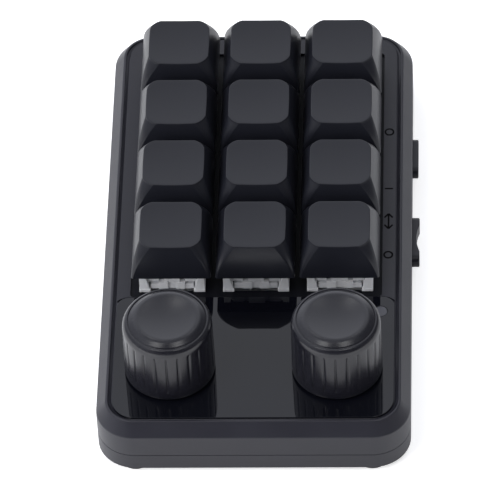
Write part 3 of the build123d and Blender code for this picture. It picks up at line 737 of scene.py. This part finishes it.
@dataclass
class Keycaps:
    """Twelve sculpted caps: leaning bellied sides, creased corners, round shoulders and a bowl on top."""

    half_base: float = 9.05
    base_round: float = 0.45
    half_top: float = 7.0
    top_round: float = 2.5
    bowl: float = 0.45
    shoulder: float = 0.26
    bow: float = 0.08
    belly: float = 0.38
    taper_power: float = 1.4
    wall: float = 0.85
    hollow_round: float = 0.25
    roof: float = 2.2
    draft: float = 1.5
    post_radius: float = 2.75
    post_lift: float = 0.3
    cross_arm: float = 2.08
    cross_half_x: float = 0.68
    cross_half_y: float = 0.605
    cross_depth: float = 3.63
    foot_bevel: float = 0.12
    foot_round_cut: float = 0.1
    corner_deg: float = 28.0
    edge_steps: int = 8
    corner_steps: int = 8
    wall_steps: int = 10
    shoulder_steps: int = 8
    bowl_rings: tuple[float, ...] = (0.9, 0.75, 0.6, 0.45, 0.3, 0.15)
    crease_deg: float = 14.0

    def outline(self, half: float, radius: float, bow: float) -> list[tuple[float, float]]:
        """Draw a square with slightly bowed sides, and corners that meet them at a soft crease.

        Args:
            half: half the width across two sides.
            radius: how far each corner reaches along the sides.
            bow: how far the middle of a side stands out.

        Returns:
            Points in order round the outline.
        """
        flat = half - radius
        side = []
        for at in range(self.edge_steps):
            share = 2 * at / self.edge_steps - 1
            side.append((half + bow * (1 - share * share), flat * share))
        spread = math.radians(self.corner_deg)
        arc = radius / (math.sqrt(2) * math.sin(spread))
        middle = half - radius / 2 - arc * math.cos(spread) / math.sqrt(2)
        for at in range(self.corner_steps):
            turn = math.pi / 4 + spread * (2 * at / self.corner_steps - 1)
            side.append((middle + arc * math.cos(turn), middle + arc * math.sin(turn)))
        points = []
        for quarter in range(4):
            cos, sin = (1, 0, -1, 0)[quarter], (0, 1, 0, -1)[quarter]
            points += [(x * cos - y * sin, x * sin + y * cos) for x, y in side]
        return points

    def bowl_height(self, x: float, y: float, height: float) -> float:
        """Height of the bowl at a point, from the cap's lower edge."""
        corner = math.hypot(self.half_top, self.half_top) - self.top_round * (math.sqrt(2) - 1)
        return height - self.bowl * (1 - (x * x + y * y) / corner ** 2)

    def draft_cap(self, height: float) -> Draft:
        """Draw one cap about its own axis, its lower edge at zero.

        Args:
            height: of the cap's upper corners over its lower edge.

        Returns:
            The cap's mesh.
        """
        cap = Draft()
        loops = []
        bevel, hollow, ceiling = self.foot_bevel, self.half_base - self.wall, height - self.roof
        for half, radius, level in (
                (hollow - self.draft, self.hollow_round, ceiling), (hollow, self.hollow_round, bevel),
                (hollow + bevel, self.hollow_round, 0.0),
                (self.half_base - bevel, self.base_round - self.foot_round_cut, 0.0)):
            loops.append(cap.loop([(x, y, level) for x, y in self.outline(half, radius, 0.0)]))
        cap.lid(loops[0])
        for at in range(self.wall_steps):
            share = at / self.wall_steps
            half = self.half_base + (self.half_top - self.half_base) * share + self.belly * 4 * share * (1 - share)
            radius = self.base_round + (self.top_round - self.base_round) * share ** self.taper_power
            level = bevel + (height - self.shoulder - bevel) * share
            loops.append(cap.loop([(x, y, level + self.bowl_height(x, y, 0.0) * share)
                                   for x, y in self.outline(half, radius, self.bow * share)]))
        for at in range(self.shoulder_steps + 1):
            turn = math.pi / 2 * at / self.shoulder_steps
            inset = self.shoulder * (1 - math.cos(turn))
            drop = self.shoulder * (1 - math.sin(turn))
            points = self.outline(self.half_top - inset, self.top_round - inset, self.bow)
            loops.append(cap.loop([(x, y, self.bowl_height(x, y, height) - drop) for x, y in points]))
        rim = self.outline(self.half_top - self.shoulder, self.top_round - self.shoulder, self.bow)
        for share in self.bowl_rings:
            points = [(x * share, y * share) for x, y in rim]
            loops.append(cap.loop([(x, y, self.bowl_height(x, y, height)) for x, y in points]))
        cap.stack(loops)
        cap.fan(loops[-1], (0, 0, height - self.bowl))
        self.add_post(cap, ceiling)
        return cap

    def add_post(self, cap: Draft, ceiling: float) -> None:
        """Add the post under the cap with its cross-shaped socket.

        Args:
            cap: the cap's mesh.
            ceiling: height of the hollow's roof.
        """
        cross = cross_outline(self.cross_arm, self.cross_half_x, self.cross_half_y)
        turns = [math.atan2(y, x) for x, y in cross]
        circle = [(self.post_radius * math.cos(turn), self.post_radius * math.sin(turn)) for turn in turns]
        loops = [cap.loop([(x, y, level) for x, y in ring]) for ring, level in (
            (circle, ceiling), (circle, self.post_lift), (cross, self.post_lift),
            (cross, self.post_lift + self.cross_depth))]
        cap.stack(loops)
        cap.lid(loops[-1])

    def build(self) -> None:
        """Put one cap on each key."""
        low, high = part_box("keycap_1")
        mesh = self.draft_cap((high.z - low.z) / MM).mesh("sculpted_keycap", self.crease_deg)
        for number in KEY_NUMBERS:
            node = f"keycap_{number}"
            x, y, _ = middle_of(node)
            place_piece(f"cap_{number}", mesh, KEYCAP_PBT, f"key_{number}", [node], (x, y, low.z / MM))


@dataclass(frozen=True)
class FaceForm:
    """A small form on a switch's front and rear face, in millimetres from the switch's axis and the plate."""

    inner: float
    outer: float
    front: float
    bottom: float
    top: float


def span(side: int, one: float, other: float) -> tuple[float, float]:
    """Give two distances on one side of an axis as coordinates, the lesser first."""
    first, last = sorted((side * one, side * other))
    return first, last


@dataclass
class Switches:
    """The plate and twelve switches: tubs with bored floors, hoods, stems and coil springs."""

    plate_edge_mm: float = 0.12
    stem_edge_mm: float = 0.1
    housing_edge_mm: float = 0.12
    half_tub: float = 6.9
    half_flange: float = 7.5
    flange_height: float = 1.0
    flange_lap: float = 0.1
    notch_half: float = 4.96
    notch_drop: float = 1.8
    tub_depth: float = 5.0
    half_cavity: float = 5.3
    floor: float = 1.45
    pin_radius: float = 2.0
    pin_bore: float = 1.5
    pin_length: float = 3.3
    pin_floor: float = 0.5
    pin_bevel: float = 0.4
    pin_sides: int = 24
    half_hood: float = 7.1
    hood_top: float = 6.6
    half_hood_top: float = 5.5
    hood_lean: float = 0.3
    roof_flare: float = 0.4
    ceiling: float = 1.5
    window_x: float = 3.8
    window_y: float = 3.1
    spring_radius: float = 1.97
    wire_radius: float = 0.16
    wire_sides: int = 6
    wire_crease_deg: float = 80.0
    spring_turns: float = 7.0
    spring_steps: int = 120
    key_travel: float = 4.0
    pillar_half: float = 7.4
    pillar_inner: float = 4.96
    pillar_inner_top: float = 6.0
    pillar_depth: float = 1.7
    pillar_height: float = 4.9
    clip: FaceForm = FaceForm(2.97, 4.9, 6.9, 0.68, 2.2)
    brow: FaceForm = FaceForm(3.0, 5.5, 6.6, 2.75, 5.6)
    sill: FaceForm = FaceForm(0.9, 2.97, 7.05, 0.68, 2.85)
    sill_middle: FaceForm = FaceForm(-0.95, 0.95, 6.8, 0.68, 2.85)
    rib: FaceForm = FaceForm(-1.85, 1.85, 6.85, 3.0, 5.8)

    def build(self) -> None:
        """Dress plate and stems, and build tubs, floors, hoods and springs at every key."""
        dress("switch_plate", PLATE_STEEL, self.plate_edge_mm)
        plate_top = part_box("switch_plate")[1].z / MM
        spots = []
        for number in KEY_NUMBERS:
            dress(f"stem_{number}", STEM_ACETAL, self.stem_edge_mm)
            x, y, _ = middle_of(f"stem_{number}")
            spots.append((x, y, plate_top))
        place_piece("switch_tubs", self.draft_tub().copies(spots).mesh("switch_tubs"), SWITCH_NYLON, "base",
                    ["switch_bases"], edge_mm=self.housing_edge_mm)
        place_piece("switch_floors", self.draft_floor().copies(spots).mesh("switch_floors"), SWITCH_NYLON, "base")
        place_piece("switch_hoods", self.draft_hood().copies(spots).mesh("switch_hoods"), SWITCH_NYLON, "base",
                    ["switch_tops"], edge_mm=self.housing_edge_mm)
        self.springs(spots)

    def draft_tub(self) -> Draft:
        """Draw one tub: flange bars, and walls notched at front and rear.

        Returns:
            The mesh, the plate's top at zero.
        """
        tub = Draft()
        wide, out, inside = self.half_tub, self.half_flange, self.half_cavity
        base, top, notch = -self.tub_depth, self.flange_height, -self.notch_drop
        for side in (-1, 1):
            self.pair(tub, side, inside, wide, (-wide, wide), base, top)
            self.pair(tub, side, wide - self.flange_lap, out, (-out, out), 0.0, top)
            near, far = span(side, inside, wide)
            tub.block((-inside, near, base), (inside, far, notch))
            for end in (-1, 1):
                self.pair(tub, end, self.notch_half, wide, span(side, inside, out), 0.0, top)
        return tub

    def draft_floor(self) -> Draft:
        """Draw one tub's floor and the bored pin below it, in which the stem's pole runs.

        Returns:
            The mesh, the plate's top at zero.
        """
        floor = Draft()
        rays = round_trip(self.pin_sides)
        square = [(x / max(abs(x), abs(y)), y / max(abs(x), abs(y))) for x, y in rays]
        base, bore, pin = -self.tub_depth, self.pin_bore, self.pin_radius
        top, tip = base + self.floor, base - self.pin_length
        loops = [floor.loop([(x * reach, y * reach, level) for x, y in shape]) for shape, reach, level in (
            (rays, bore, tip + self.pin_floor), (rays, bore, top), (square, self.half_cavity, top),
            (square, self.half_cavity, base), (rays, pin, base), (rays, pin, tip + self.pin_bevel),
            (rays, pin - self.pin_bevel, tip))]
        floor.stack(loops)
        floor.lid(loops[0])
        floor.lid(loops[-1])
        return floor

    def pair(self, mesh: Draft, side: int, inner: float, outer: float, depth: tuple[float, float], bottom: float,
             top: float, inner_top: float | None = None) -> None:
        """Add a block on the left or right of the switch.

        Args:
            mesh: the mesh that gets it.
            side: minus one for left, one for right.
            inner: its nearer side, from the switch's axis.
            outer: its farther side.
            depth: its least and most y.
            bottom: its lower level.
            top: its upper level.
            inner_top: its nearer side at the top, where it leans.
        """
        low_x, high_x = span(side, inner, outer)
        lean = span(side, inner if inner_top is None else inner_top, outer)
        mesh.block((low_x, depth[0], bottom), (high_x, depth[1], top), (*lean, *depth))

    def draft_hood(self) -> Draft:
        """Draw one hood: side walls, four pillars, open faces with small forms, and a roof with a window.

        Returns:
            The mesh, the plate's top at zero.
        """
        hood = Draft()
        foot, top, out, up = self.flange_height, self.hood_top, self.half_hood, self.half_hood_top
        inside, flare, roof = self.half_cavity, up + self.roof_flare, top - self.ceiling
        for side in (-1, 1):
            low_x, high_x = span(side, inside, out)
            hood.block((low_x, -out, foot), (high_x, out, top), (*span(side, inside - self.hood_lean, up), -up, up))
        for end in (-1, 1):
            self.add_face(hood, end)
        loops = []
        for x, y, level in ((flare, flare, roof), (up, up, top), (self.window_x, self.window_y, top),
                            (self.window_x, self.window_y, roof)):
            loops.append(hood.loop([(-x, -y, level), (x, -y, level), (x, y, level), (-x, y, level)]))
        hood.stack(loops)
        hood.skin(loops[-1], loops[0])
        return hood

    def add_face(self, hood: Draft, end: int) -> None:
        """Add one face: pillars, clips with a slot above, brows, and a middle rib over a sill.

        Args:
            hood: the hood's mesh.
            end: minus one for the front, one for the rear.
        """
        pillar = span(end, self.pillar_half, self.pillar_half - self.pillar_depth)
        for side in (-1, 1):
            self.pair(hood, side, self.pillar_inner, self.pillar_half, pillar, 0.0, self.pillar_height,
                      self.pillar_inner_top)
            for form in (self.clip, self.brow, self.sill):
                depth = span(end, form.front, self.half_cavity)
                self.pair(hood, side, form.inner, form.outer, depth, form.bottom, form.top)
        for form in (self.sill_middle, self.rib):
            near, far = span(end, form.front, self.half_cavity)
            hood.block((form.inner, near, form.bottom), (form.outer, far, form.top))

    def springs(self, spots: Sequence[Point]) -> None:
        """Wind twelve springs, one on each key's axis.

        Args:
            spots: the keys' axes on the plate's top.
        """
        low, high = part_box("key_springs")
        bottom, length = low.z / MM, (high.z - low.z) / MM
        coil = Draft()
        wire = self.wire_radius
        loops = []
        for at in range(self.spring_steps + 1):
            share = at / self.spring_steps
            turn = 2 * math.pi * self.spring_turns * share
            rise = wire + (length - 2 * wire) * share
            section = [(self.spring_radius + wire * out, rise + wire * up) for out, up in round_trip(self.wire_sides)]
            loops.append(coil.loop([(reach * math.cos(turn), reach * math.sin(turn), z) for reach, z in section]))
        coil.stack(loops)
        coil.lid(loops[0][::-1])
        coil.lid(loops[-1])
        mesh = coil.mesh("return_spring", self.wire_crease_deg)
        for number, (x, y, _) in enumerate(spots, start=1):
            spring = place_piece(f"return_spring_{number}", mesh, SPRING_STEEL, "base",
                                 ["key_springs"] if number == 1 else (), (x, y, bottom))
            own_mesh(spring)


@dataclass
class Knobs:
    """Two fluted knobs on push encoders, and the encoders' snap domes."""

    flutes: int = 24
    flute_half_deg: float = 1.3
    flute_depth: float = 0.15
    flute_low: float = 1.9
    flute_top_drop: float = 2.9
    flute_fade: float = 0.8
    base_radius: float = 10.2
    base_round: float = 0.3
    skirt: float = 0.14
    waist_radius: float = 10.04
    waist_drop: float = 2.8
    ring_radius: float = 9.05
    ring_drop: float = 0.9
    ring_land: float = 0.16
    ring_groove: float = 0.11
    crest_radius: float = 6.6
    crown_deg: float = 32.0
    dish: float = 0.7
    hub_radius: float = 4.2
    hub_depth: float = 4.0
    hub_bevel: float = 0.2
    push_travel: float = 0.5
    shoulder_deg: float = 72.0
    shoulder_steps: int = 8
    crest_steps: int = 6
    foot_turns: tuple[float, ...] = (0.0, 0.6, 1.1, math.pi / 2)
    crown_rings: tuple[float, ...] = (0.0, 0.3, 0.6)
    dish_rings: tuple[float, ...] = (0.95, 0.88, 0.78, 0.62, 0.44, 0.26, 0.1)
    crease_deg: float = 50.0
    encoder_edge_mm: float = 0.15
    cover_edge_mm: float = 0.12
    rotor_edge_mm: float = 0.1
    shaft_edge_mm: float = 0.15
    dome_rim: float = 0.15
    dome_rise: float = 0.1
    dome_foot: float = 0.12
    dome_share: float = 0.92
    dome_turns: tuple[float, ...] = (0.35, 0.8, 1.2, 1.45)
    dome_sides: int = 24

    def profile(self, height: float) -> list[tuple[float, float]]:
        """Draw half the knob's section: foot, leaning wall, round shoulder, grooved ring, crown and dish.

        Args:
            height: of the knob's crest over its lower edge.

        Returns:
            Radius and height pairs, from the foot to the middle of the dish.
        """
        waist, ring = height - self.waist_drop, height - self.ring_drop
        points = [(self.base_radius - self.base_round * (1 - math.sin(turn)),
                   self.base_round * (1 - math.cos(turn)) - self.skirt) for turn in self.foot_turns]
        low, high, fade = self.flute_low, height - self.flute_top_drop, self.flute_fade
        for level in (low - fade, low, low + fade / 3, low + fade * 2 / 3, low + fade, (low + high) / 2,
                      high - fade, high - fade * 2 / 3, high - fade / 3, high):
            points.append((self.base_radius + (self.waist_radius - self.base_radius) * level / waist, level))
        last = math.radians(self.shoulder_deg)
        for at in range(self.shoulder_steps + 1):
            turn = last * at / self.shoulder_steps
            share = (math.cos(turn) - math.cos(last)) / (1 - math.cos(last))
            points.append((self.ring_radius + (self.waist_radius - self.ring_radius) * share,
                           waist + (ring - waist) * math.sin(turn) / math.sin(last)))
        groove, lip = self.ring_groove, self.ring_radius - self.ring_land
        points += [(lip, ring), (lip - groove / 2, ring - groove), (lip - groove * 1.5, ring - groove * 0.8)]
        slope = math.radians(self.crown_deg)
        inner, steep = lip - 2 * groove, math.tan(slope)
        # The crest's bend leaves the sloped crown without a kink and ends level
        bend = ((self.ring_drop - (inner - self.crest_radius) * steep)
                / (1 - math.cos(slope) - math.sin(slope) * steep))
        knee = self.crest_radius + bend * math.sin(slope)
        points += [(inner + (knee - inner) * share, ring + (inner - knee) * steep * share)
                   for share in self.crown_rings]
        for at in range(self.crest_steps + 1):
            turn = slope * (1 - at / self.crest_steps)
            points.append((self.crest_radius + bend * math.sin(turn), height - bend * (1 - math.cos(turn))))
        for share in self.dish_rings:
            points.append((self.crest_radius * share, height - self.dish * (1 - share * share)))
        return points

    def turns(self) -> list[float]:
        """Give the angles round the knob, close together at the flutes.

        Returns:
            Angles in radians, in order.
        """
        half = self.flute_half_deg
        within = [-half, -half * 0.72, -half * 0.4, 0.0, half * 0.4, half * 0.72, half]
        pitch = 360 / self.flutes
        plain = [half + (pitch - 2 * half) * share for share in (0.2, 0.4, 0.6, 0.8)]
        return [math.radians(number * pitch + angle) for number in range(self.flutes) for angle in within + plain]

    def cut(self, turn: float, level: float, height: float) -> float:
        """Depth of the flutes at an angle and a level.

        Args:
            turn: angle round the axis.
            level: height over the lower edge.
            height: of the whole knob.

        Returns:
            How far the flute goes in there.
        """
        pitch = 2 * math.pi / self.flutes
        off = abs((turn + pitch / 2) % pitch - pitch / 2)
        across = max(0.0, 1 - (off / math.radians(self.flute_half_deg)) ** 2)
        rise = min(1.0, max(0.0, min(level - self.flute_low, height - self.flute_top_drop - level) / self.flute_fade))
        return self.flute_depth * across * rise * rise * (3 - 2 * rise)

    def draft_knob(self, height: float) -> Draft:
        """Draw one knob about its axis, its lower edge at zero.

        Args:
            height: of the crest over the lower edge.

        Returns:
            The knob's mesh.
        """
        knob = Draft()
        turns = self.turns()
        loops = []
        hub = [(self.hub_radius, self.hub_depth), (self.hub_radius, self.hub_bevel),
               (self.hub_radius + self.hub_bevel, 0.0)]
        for radius, level in hub + self.profile(height):
            ring = []
            for turn in turns:
                reach = radius - self.cut(turn, level, height) if radius > self.ring_radius else radius
                ring.append((reach * math.cos(turn), reach * math.sin(turn), level))
            loops.append(knob.loop(ring))
        knob.stack(loops)
        knob.lid(loops[0])
        knob.fan(loops[-1], (0, 0, height - self.dish))
        return knob

    def build(self) -> None:
        """Put the knobs on their shafts, and dress the encoders under them."""
        low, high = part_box("left_knob")
        mesh = self.draft_knob((high.z - low.z) / MM).mesh("fluted_knob", self.crease_deg)
        dress("encoder_bases", PHENOLIC, self.encoder_edge_mm)
        dress("encoder_covers", PLATED_STEEL, self.cover_edge_mm)
        for side in ("left", "right"):
            dress(f"{side}_rotor", PHENOLIC, self.rotor_edge_mm)
            dress(f"{side}_shaft", TURNED_ALUMINIUM, self.shaft_edge_mm)
            x, y, _ = middle_of(f"{side}_knob")
            place_piece(f"{side}_fluted_knob", mesh, KNOB_ABS, f"{side}_dial", [f"{side}_knob"], (x, y, low.z / MM))
        self.domes()

    def domes(self) -> None:
        """Press two snap domes, one under each shaft."""
        low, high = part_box("encoder_domes")
        height, reach = (high.z - low.z) / MM, (high.y - low.y) / 2 / MM
        dome = Draft()
        profile = [(reach, 0.0), (reach - self.dome_rim, self.dome_rise)]
        profile += [(reach * self.dome_share * math.cos(turn),
                     self.dome_foot + (height - self.dome_foot) * math.sin(turn)) for turn in self.dome_turns]
        loops = dome.turned(profile, (0, 0, 0), self.dome_sides)
        dome.fan(loops[-1], (0, 0, height))
        dome.lid(loops[0])
        for number, side in enumerate(("left", "right")):
            x, y, _ = middle_of(f"{side}_rotor")
            piece = place_piece(f"{side}_snap_dome", dome.mesh(f"{side}_snap_dome"), SPRING_STEEL, "base",
                                ["encoder_domes"] if number == 0 else (), (x, y, low.z / MM))
            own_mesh(piece)


@dataclass
class Electronics:
    """What is on the board and in the walls: controls, socket, controller and battery."""

    thin_edge_mm: float = 0.08
    moulded_edge_mm: float = 0.1
    can_edge_mm: float = 0.12
    cell_edge_mm: float = 0.6
    cell_steps: int = 3
    control_edge_mm: float = 0.28
    control_steps: int = 4

    def build(self) -> None:
        """Dress the board, its parts and the controls on the right wall."""
        dress("circuit_board", BOARD_LAMINATE, self.thin_edge_mm)
        dress("controller_chip", CHIP_EPOXY, self.moulded_edge_mm)
        dress("battery", CELL_FOIL, self.cell_edge_mm, self.cell_steps)
        dress("socket_shell", PLATED_STEEL, self.thin_edge_mm)
        dress("socket_tongue", PHENOLIC, self.moulded_edge_mm)
        for node in ("slide_switch_body", "push_switch_body"):
            dress(node, PLATED_STEEL, self.can_edge_mm)
        for node in ("slide_switch_lever", "push_switch_plunger"):
            dress(node, PHENOLIC, self.moulded_edge_mm)
        for node in ("power_slider", "side_button"):
            dress(node, CONTROL_ABS, self.control_edge_mm, self.control_steps)


class Axis(Enum):
    """What a fade follows: one coordinate, the distance from the middle line, or the way to the lens."""

    X = "x"
    Y = "y"
    Z = "z"
    ASIDE = "aside"
    LENS = "lens"


@dataclass(frozen=True)
class Fade:
    """A smooth change of brightness from one place on an axis to another."""

    axis: Axis
    start: float
    end: float
    first: float
    last: float


@dataclass(frozen=True)
class SoftBox:
    """A lamp that looks at the object: its place and sides in metres, and whether gloss surfaces show it."""

    name: str
    spot: Point
    size: tuple[float, float]
    watts: float
    mirrored: bool = True


@dataclass
class Studio:
    """White surround, soft boxes, a white table and the camera of the picture."""

    elevation_deg: float = 48.3002
    azimuth_deg: float = 3.6691
    roll_deg: float = 3.0083
    distance: float = 1236.27
    focal_px: float = 5387.65
    frame_px: float = 500.0
    aim_px: tuple[float, float] = (257.785, 131.455)
    aim: Point = (0.0, 15.5, 29.14)
    sensor_mm: float = 36.0
    clip_m: tuple[float, float] = (0.05, 50.0)
    surround_fades: tuple[Fade, ...] = (
        Fade(Axis.Z, 0.6, 1.0, 1.22, 0.6), Fade(Axis.Y, -0.1, -0.9, 1.0, 0.2), Fade(Axis.X, 0.25, 0.7, 1.0, 0.15),
        Fade(Axis.X, -0.5, -0.9, 1.0, 0.45), Fade(Axis.LENS, 0.78, 0.96, 1.0, 0.2))
    boxes: tuple[SoftBox, ...] = (
        SoftBox("left_soft_box", (-1.0, -0.5, 0.55), (1.1, 0.8), 13.0, mirrored=False),
        SoftBox("right_soft_box", (1.0, -0.5, 0.55), (1.1, 0.8), 4.2, mirrored=False),
        SoftBox("left_overhead_box", (-0.32, -0.33, 0.9), (0.27, 0.27), 0.75),
        SoftBox("right_overhead_box", (0.24, -0.33, 0.9), (0.27, 0.27), 0.6375),
        SoftBox("left_rear_box", (-0.2, 0.36, 0.91), (0.12, 0.12), 0.14),
        SoftBox("right_rear_box", (0.2, 0.36, 0.91), (0.12, 0.12), 0.07))
    lamp_aim: Point = (0.0, 0.0, 0.02)
    table_half: float = 4000.0
    table_lift: float = 0.55
    # Painted reflection: the table glows for gloss and glass only, stronger at the left and in patches towards the
    # front at both sides
    reflection_glow_left: float = 0.25
    reflection_glow_right: float = 0.06
    reflection_glow_reach: float = 0.08
    corner_reflection_glow: float = 0.5
    corner_glow_fades: tuple[Fade, ...] = (Fade(Axis.Y, -0.08, -0.13, 0.0, 1.0), Fade(Axis.ASIDE, 0.03, 0.07, 0.0, 1.0))

    def build(self) -> None:
        """Make world, lamps, floor and camera."""
        self.world()
        for box in self.boxes:
            self.lamp(box)
        self.floor()
        self.camera()

    def faded(self, tree: bpy.types.NodeTree, level: float, fades: Sequence[Fade],
              values: dict[Axis, bpy.types.NodeSocket]) -> bpy.types.NodeSocket:
        """Multiply a brightness by fades.

        Args:
            tree: the shader that gets them.
            level: the brightness before any fade.
            fades: the fades.
            values: what gives the place on each axis.

        Returns:
            The faded brightness.
        """
        for fade in fades:
            ramp = add_node(tree, "ShaderNodeMapRange", {
                "Value": values[fade.axis], "From Min": fade.start, "From Max": fade.end, "To Min": fade.first,
                "To Max": fade.last}, interpolation_type="SMOOTHSTEP")
            product = add_node(tree, "ShaderNodeMath", {0: level, 1: ramp.outputs["Result"]}, operation="MULTIPLY")
            level = product.outputs[0]
        return level

    def world(self) -> None:
        """Surround the object with white that fades overhead, aside, in front and at the lens, and is seen plain."""
        world = bpy.data.worlds.new("white_surround")
        bpy.context.scene.world = world
        world.use_nodes = True
        tree = world.node_tree
        tree.nodes.clear()
        path = add_node(tree, "ShaderNodeLightPath")
        way = add_node(tree, "ShaderNodeTexCoord").outputs["Generated"]
        split = add_node(tree, "ShaderNodeSeparateXYZ", {"Vector": way})
        tilt, swing = math.radians(self.elevation_deg), math.radians(self.azimuth_deg)
        eye = (math.sin(swing) * math.cos(tilt), -math.cos(swing) * math.cos(tilt), math.sin(tilt))
        towards = add_node(tree, "ShaderNodeVectorMath", {0: way, 1: eye}, operation="DOT_PRODUCT")
        values = {Axis.X: split.outputs["X"], Axis.Y: split.outputs["Y"], Axis.Z: split.outputs["Z"],
                  Axis.LENS: towards.outputs["Value"]}
        level = self.faded(tree, 1.0, self.surround_fades, values)
        seen = path.outputs["Is Camera Ray"]
        strength = add_node(tree, "ShaderNodeMix", {"Factor": seen, "A": level, "B": 1.0})
        tint = add_node(tree, "ShaderNodeMix", {
            "Factor": seen, "A": linear("#f2f5ff"), "B": linear("#ffffff")}, data_type="RGBA")
        glow = add_node(tree, "ShaderNodeBackground", {
            "Color": tint.outputs["Result"], "Strength": strength.outputs["Result"]})
        add_node(tree, "ShaderNodeOutputWorld", {"Surface": glow.outputs["Background"]})

    def lamp(self, box: SoftBox) -> None:
        """Hang a soft box that looks at the object.

        Args:
            box: the lamp.
        """
        light = bpy.data.lights.new(box.name, "AREA")
        light.shape = "RECTANGLE"
        light.size, light.size_y = box.size
        light.energy = box.watts
        lamp = bpy.data.objects.new(box.name, light)
        bpy.context.scene.collection.objects.link(lamp)
        lamp.location = box.spot
        lamp.rotation_euler = (Vector(self.lamp_aim) - Vector(box.spot)).to_track_quat("-Z", "Y").to_euler()
        lamp.visible_camera = False
        lamp.visible_glossy = box.mirrored

    def floor(self) -> None:
        """Lay a wide white table top with a faint unevenness."""
        table = Draft()
        half = self.table_half
        table.lid(table.loop([(-half, -half, 0), (half, -half, 0), (half, half, 0), (-half, half, 0)]))
        piece = bpy.data.objects.new("table_top", table.mesh("table_top"))
        bpy.context.scene.collection.objects.link(piece)
        sheet = SWEEP_PAPER.material()
        piece.data.materials.append(sheet)
        self.lift(sheet.node_tree)

    def lift(self, tree: bpy.types.NodeTree) -> None:
        """Let the table be seen white with its shadows kept, glow as a painted reflection in gloss and glass that is
        brighter at the left and towards the front at both sides, and be open from below.

        Args:
            tree: the table's shader.
        """
        path = add_node(tree, "ShaderNodeLightPath")
        place = add_node(tree, "ShaderNodeTexCoord").outputs["Object"]
        split = add_node(tree, "ShaderNodeSeparateXYZ", {"Vector": place})
        sides = add_node(tree, "ShaderNodeMapRange", {
            "Value": split.outputs["X"], "From Min": -self.reflection_glow_reach, "From Max": self.reflection_glow_reach,
            "To Min": self.reflection_glow_left, "To Max": self.reflection_glow_right})
        aside = add_node(tree, "ShaderNodeMath", {0: split.outputs["X"]}, operation="ABSOLUTE")
        values = {Axis.Y: split.outputs["Y"], Axis.ASIDE: aside.outputs[0]}
        corner = self.faded(tree, self.corner_reflection_glow, self.corner_glow_fades, values)
        # Painted reflection: the table's glow that only gloss and glass see, left-weighted plus the front-side
        # patches
        mirrored = add_node(tree, "ShaderNodeMath", {0: sides.outputs["Result"], 1: corner}, operation="ADD")
        bounced = add_node(tree, "ShaderNodeMath", {
            0: path.outputs["Is Glossy Ray"], 1: path.outputs["Is Transmission Ray"]}, operation="MAXIMUM")
        amount = add_node(tree, "ShaderNodeMath", {
            0: bounced.outputs[0], 1: mirrored.outputs[0]}, operation="MULTIPLY")
        amount = add_node(tree, "ShaderNodeMath", {
            0: path.outputs["Is Camera Ray"], 1: self.table_lift, 2: amount.outputs[0]}, operation="MULTIPLY_ADD")
        glow = add_node(tree, "ShaderNodeEmission", {"Color": linear("#ffffff"), "Strength": amount.outputs[0]})
        end = next(node for node in tree.nodes if node.type == "OUTPUT_MATERIAL")
        paper = end.inputs["Surface"].links[0].from_socket
        both = add_node(tree, "ShaderNodeAddShader", {0: paper, 1: glow.outputs["Emission"]})
        underside = add_node(tree, "ShaderNodeNewGeometry").outputs["Backfacing"]
        open_below = add_node(tree, "ShaderNodeBsdfTransparent").outputs["BSDF"]
        sheet = add_node(tree, "ShaderNodeMixShader", {0: underside, 1: both.outputs[0], 2: open_below})
        tree.links.new(sheet.outputs[0], end.inputs["Surface"])

    def camera(self) -> None:
        """Stand the camera where the picture was taken, with its long lens."""
        tilt, swing, roll = (math.radians(angle) for angle in (self.elevation_deg, self.azimuth_deg, self.roll_deg))
        ahead = Vector((-math.sin(swing) * math.cos(tilt), math.cos(swing) * math.cos(tilt), -math.sin(tilt)))
        level = Vector((math.cos(swing), math.sin(swing), 0))
        down = ahead.cross(level)
        right = math.cos(roll) * level + math.sin(roll) * down
        below = -math.sin(roll) * level + math.cos(roll) * down
        middle = self.frame_px / 2
        across = (self.aim_px[0] - middle) / self.focal_px * self.distance
        under = (self.aim_px[1] - middle) / self.focal_px * self.distance
        spot = Vector(self.aim) - right * across - below * under - ahead * self.distance
        lens = bpy.data.cameras.new("picture_camera")
        lens.sensor_width = self.sensor_mm
        lens.lens = self.focal_px * lens.sensor_width / self.frame_px
        lens.clip_start, lens.clip_end = self.clip_m
        eye = bpy.data.objects.new("picture_camera", lens)
        bpy.context.scene.collection.objects.link(eye)
        turn = Matrix((right, -below, -ahead)).transposed().to_4x4()
        eye.matrix_world = Matrix.Translation(spot * MM) @ turn
        bpy.context.scene.camera = eye


def main() -> None:
    """Build the keypad's looks in order and set the scene."""
    logging.basicConfig(level=logging.INFO, format="%(name)s: %(message)s")
    Case().build()
    Switches().build()
    Keycaps().build()
    Knobs().build()
    Electronics().build()
    Studio().build()
    bpy.context.scene.view_settings.view_transform = "Standard"


if __name__ == "__main__":
    main()
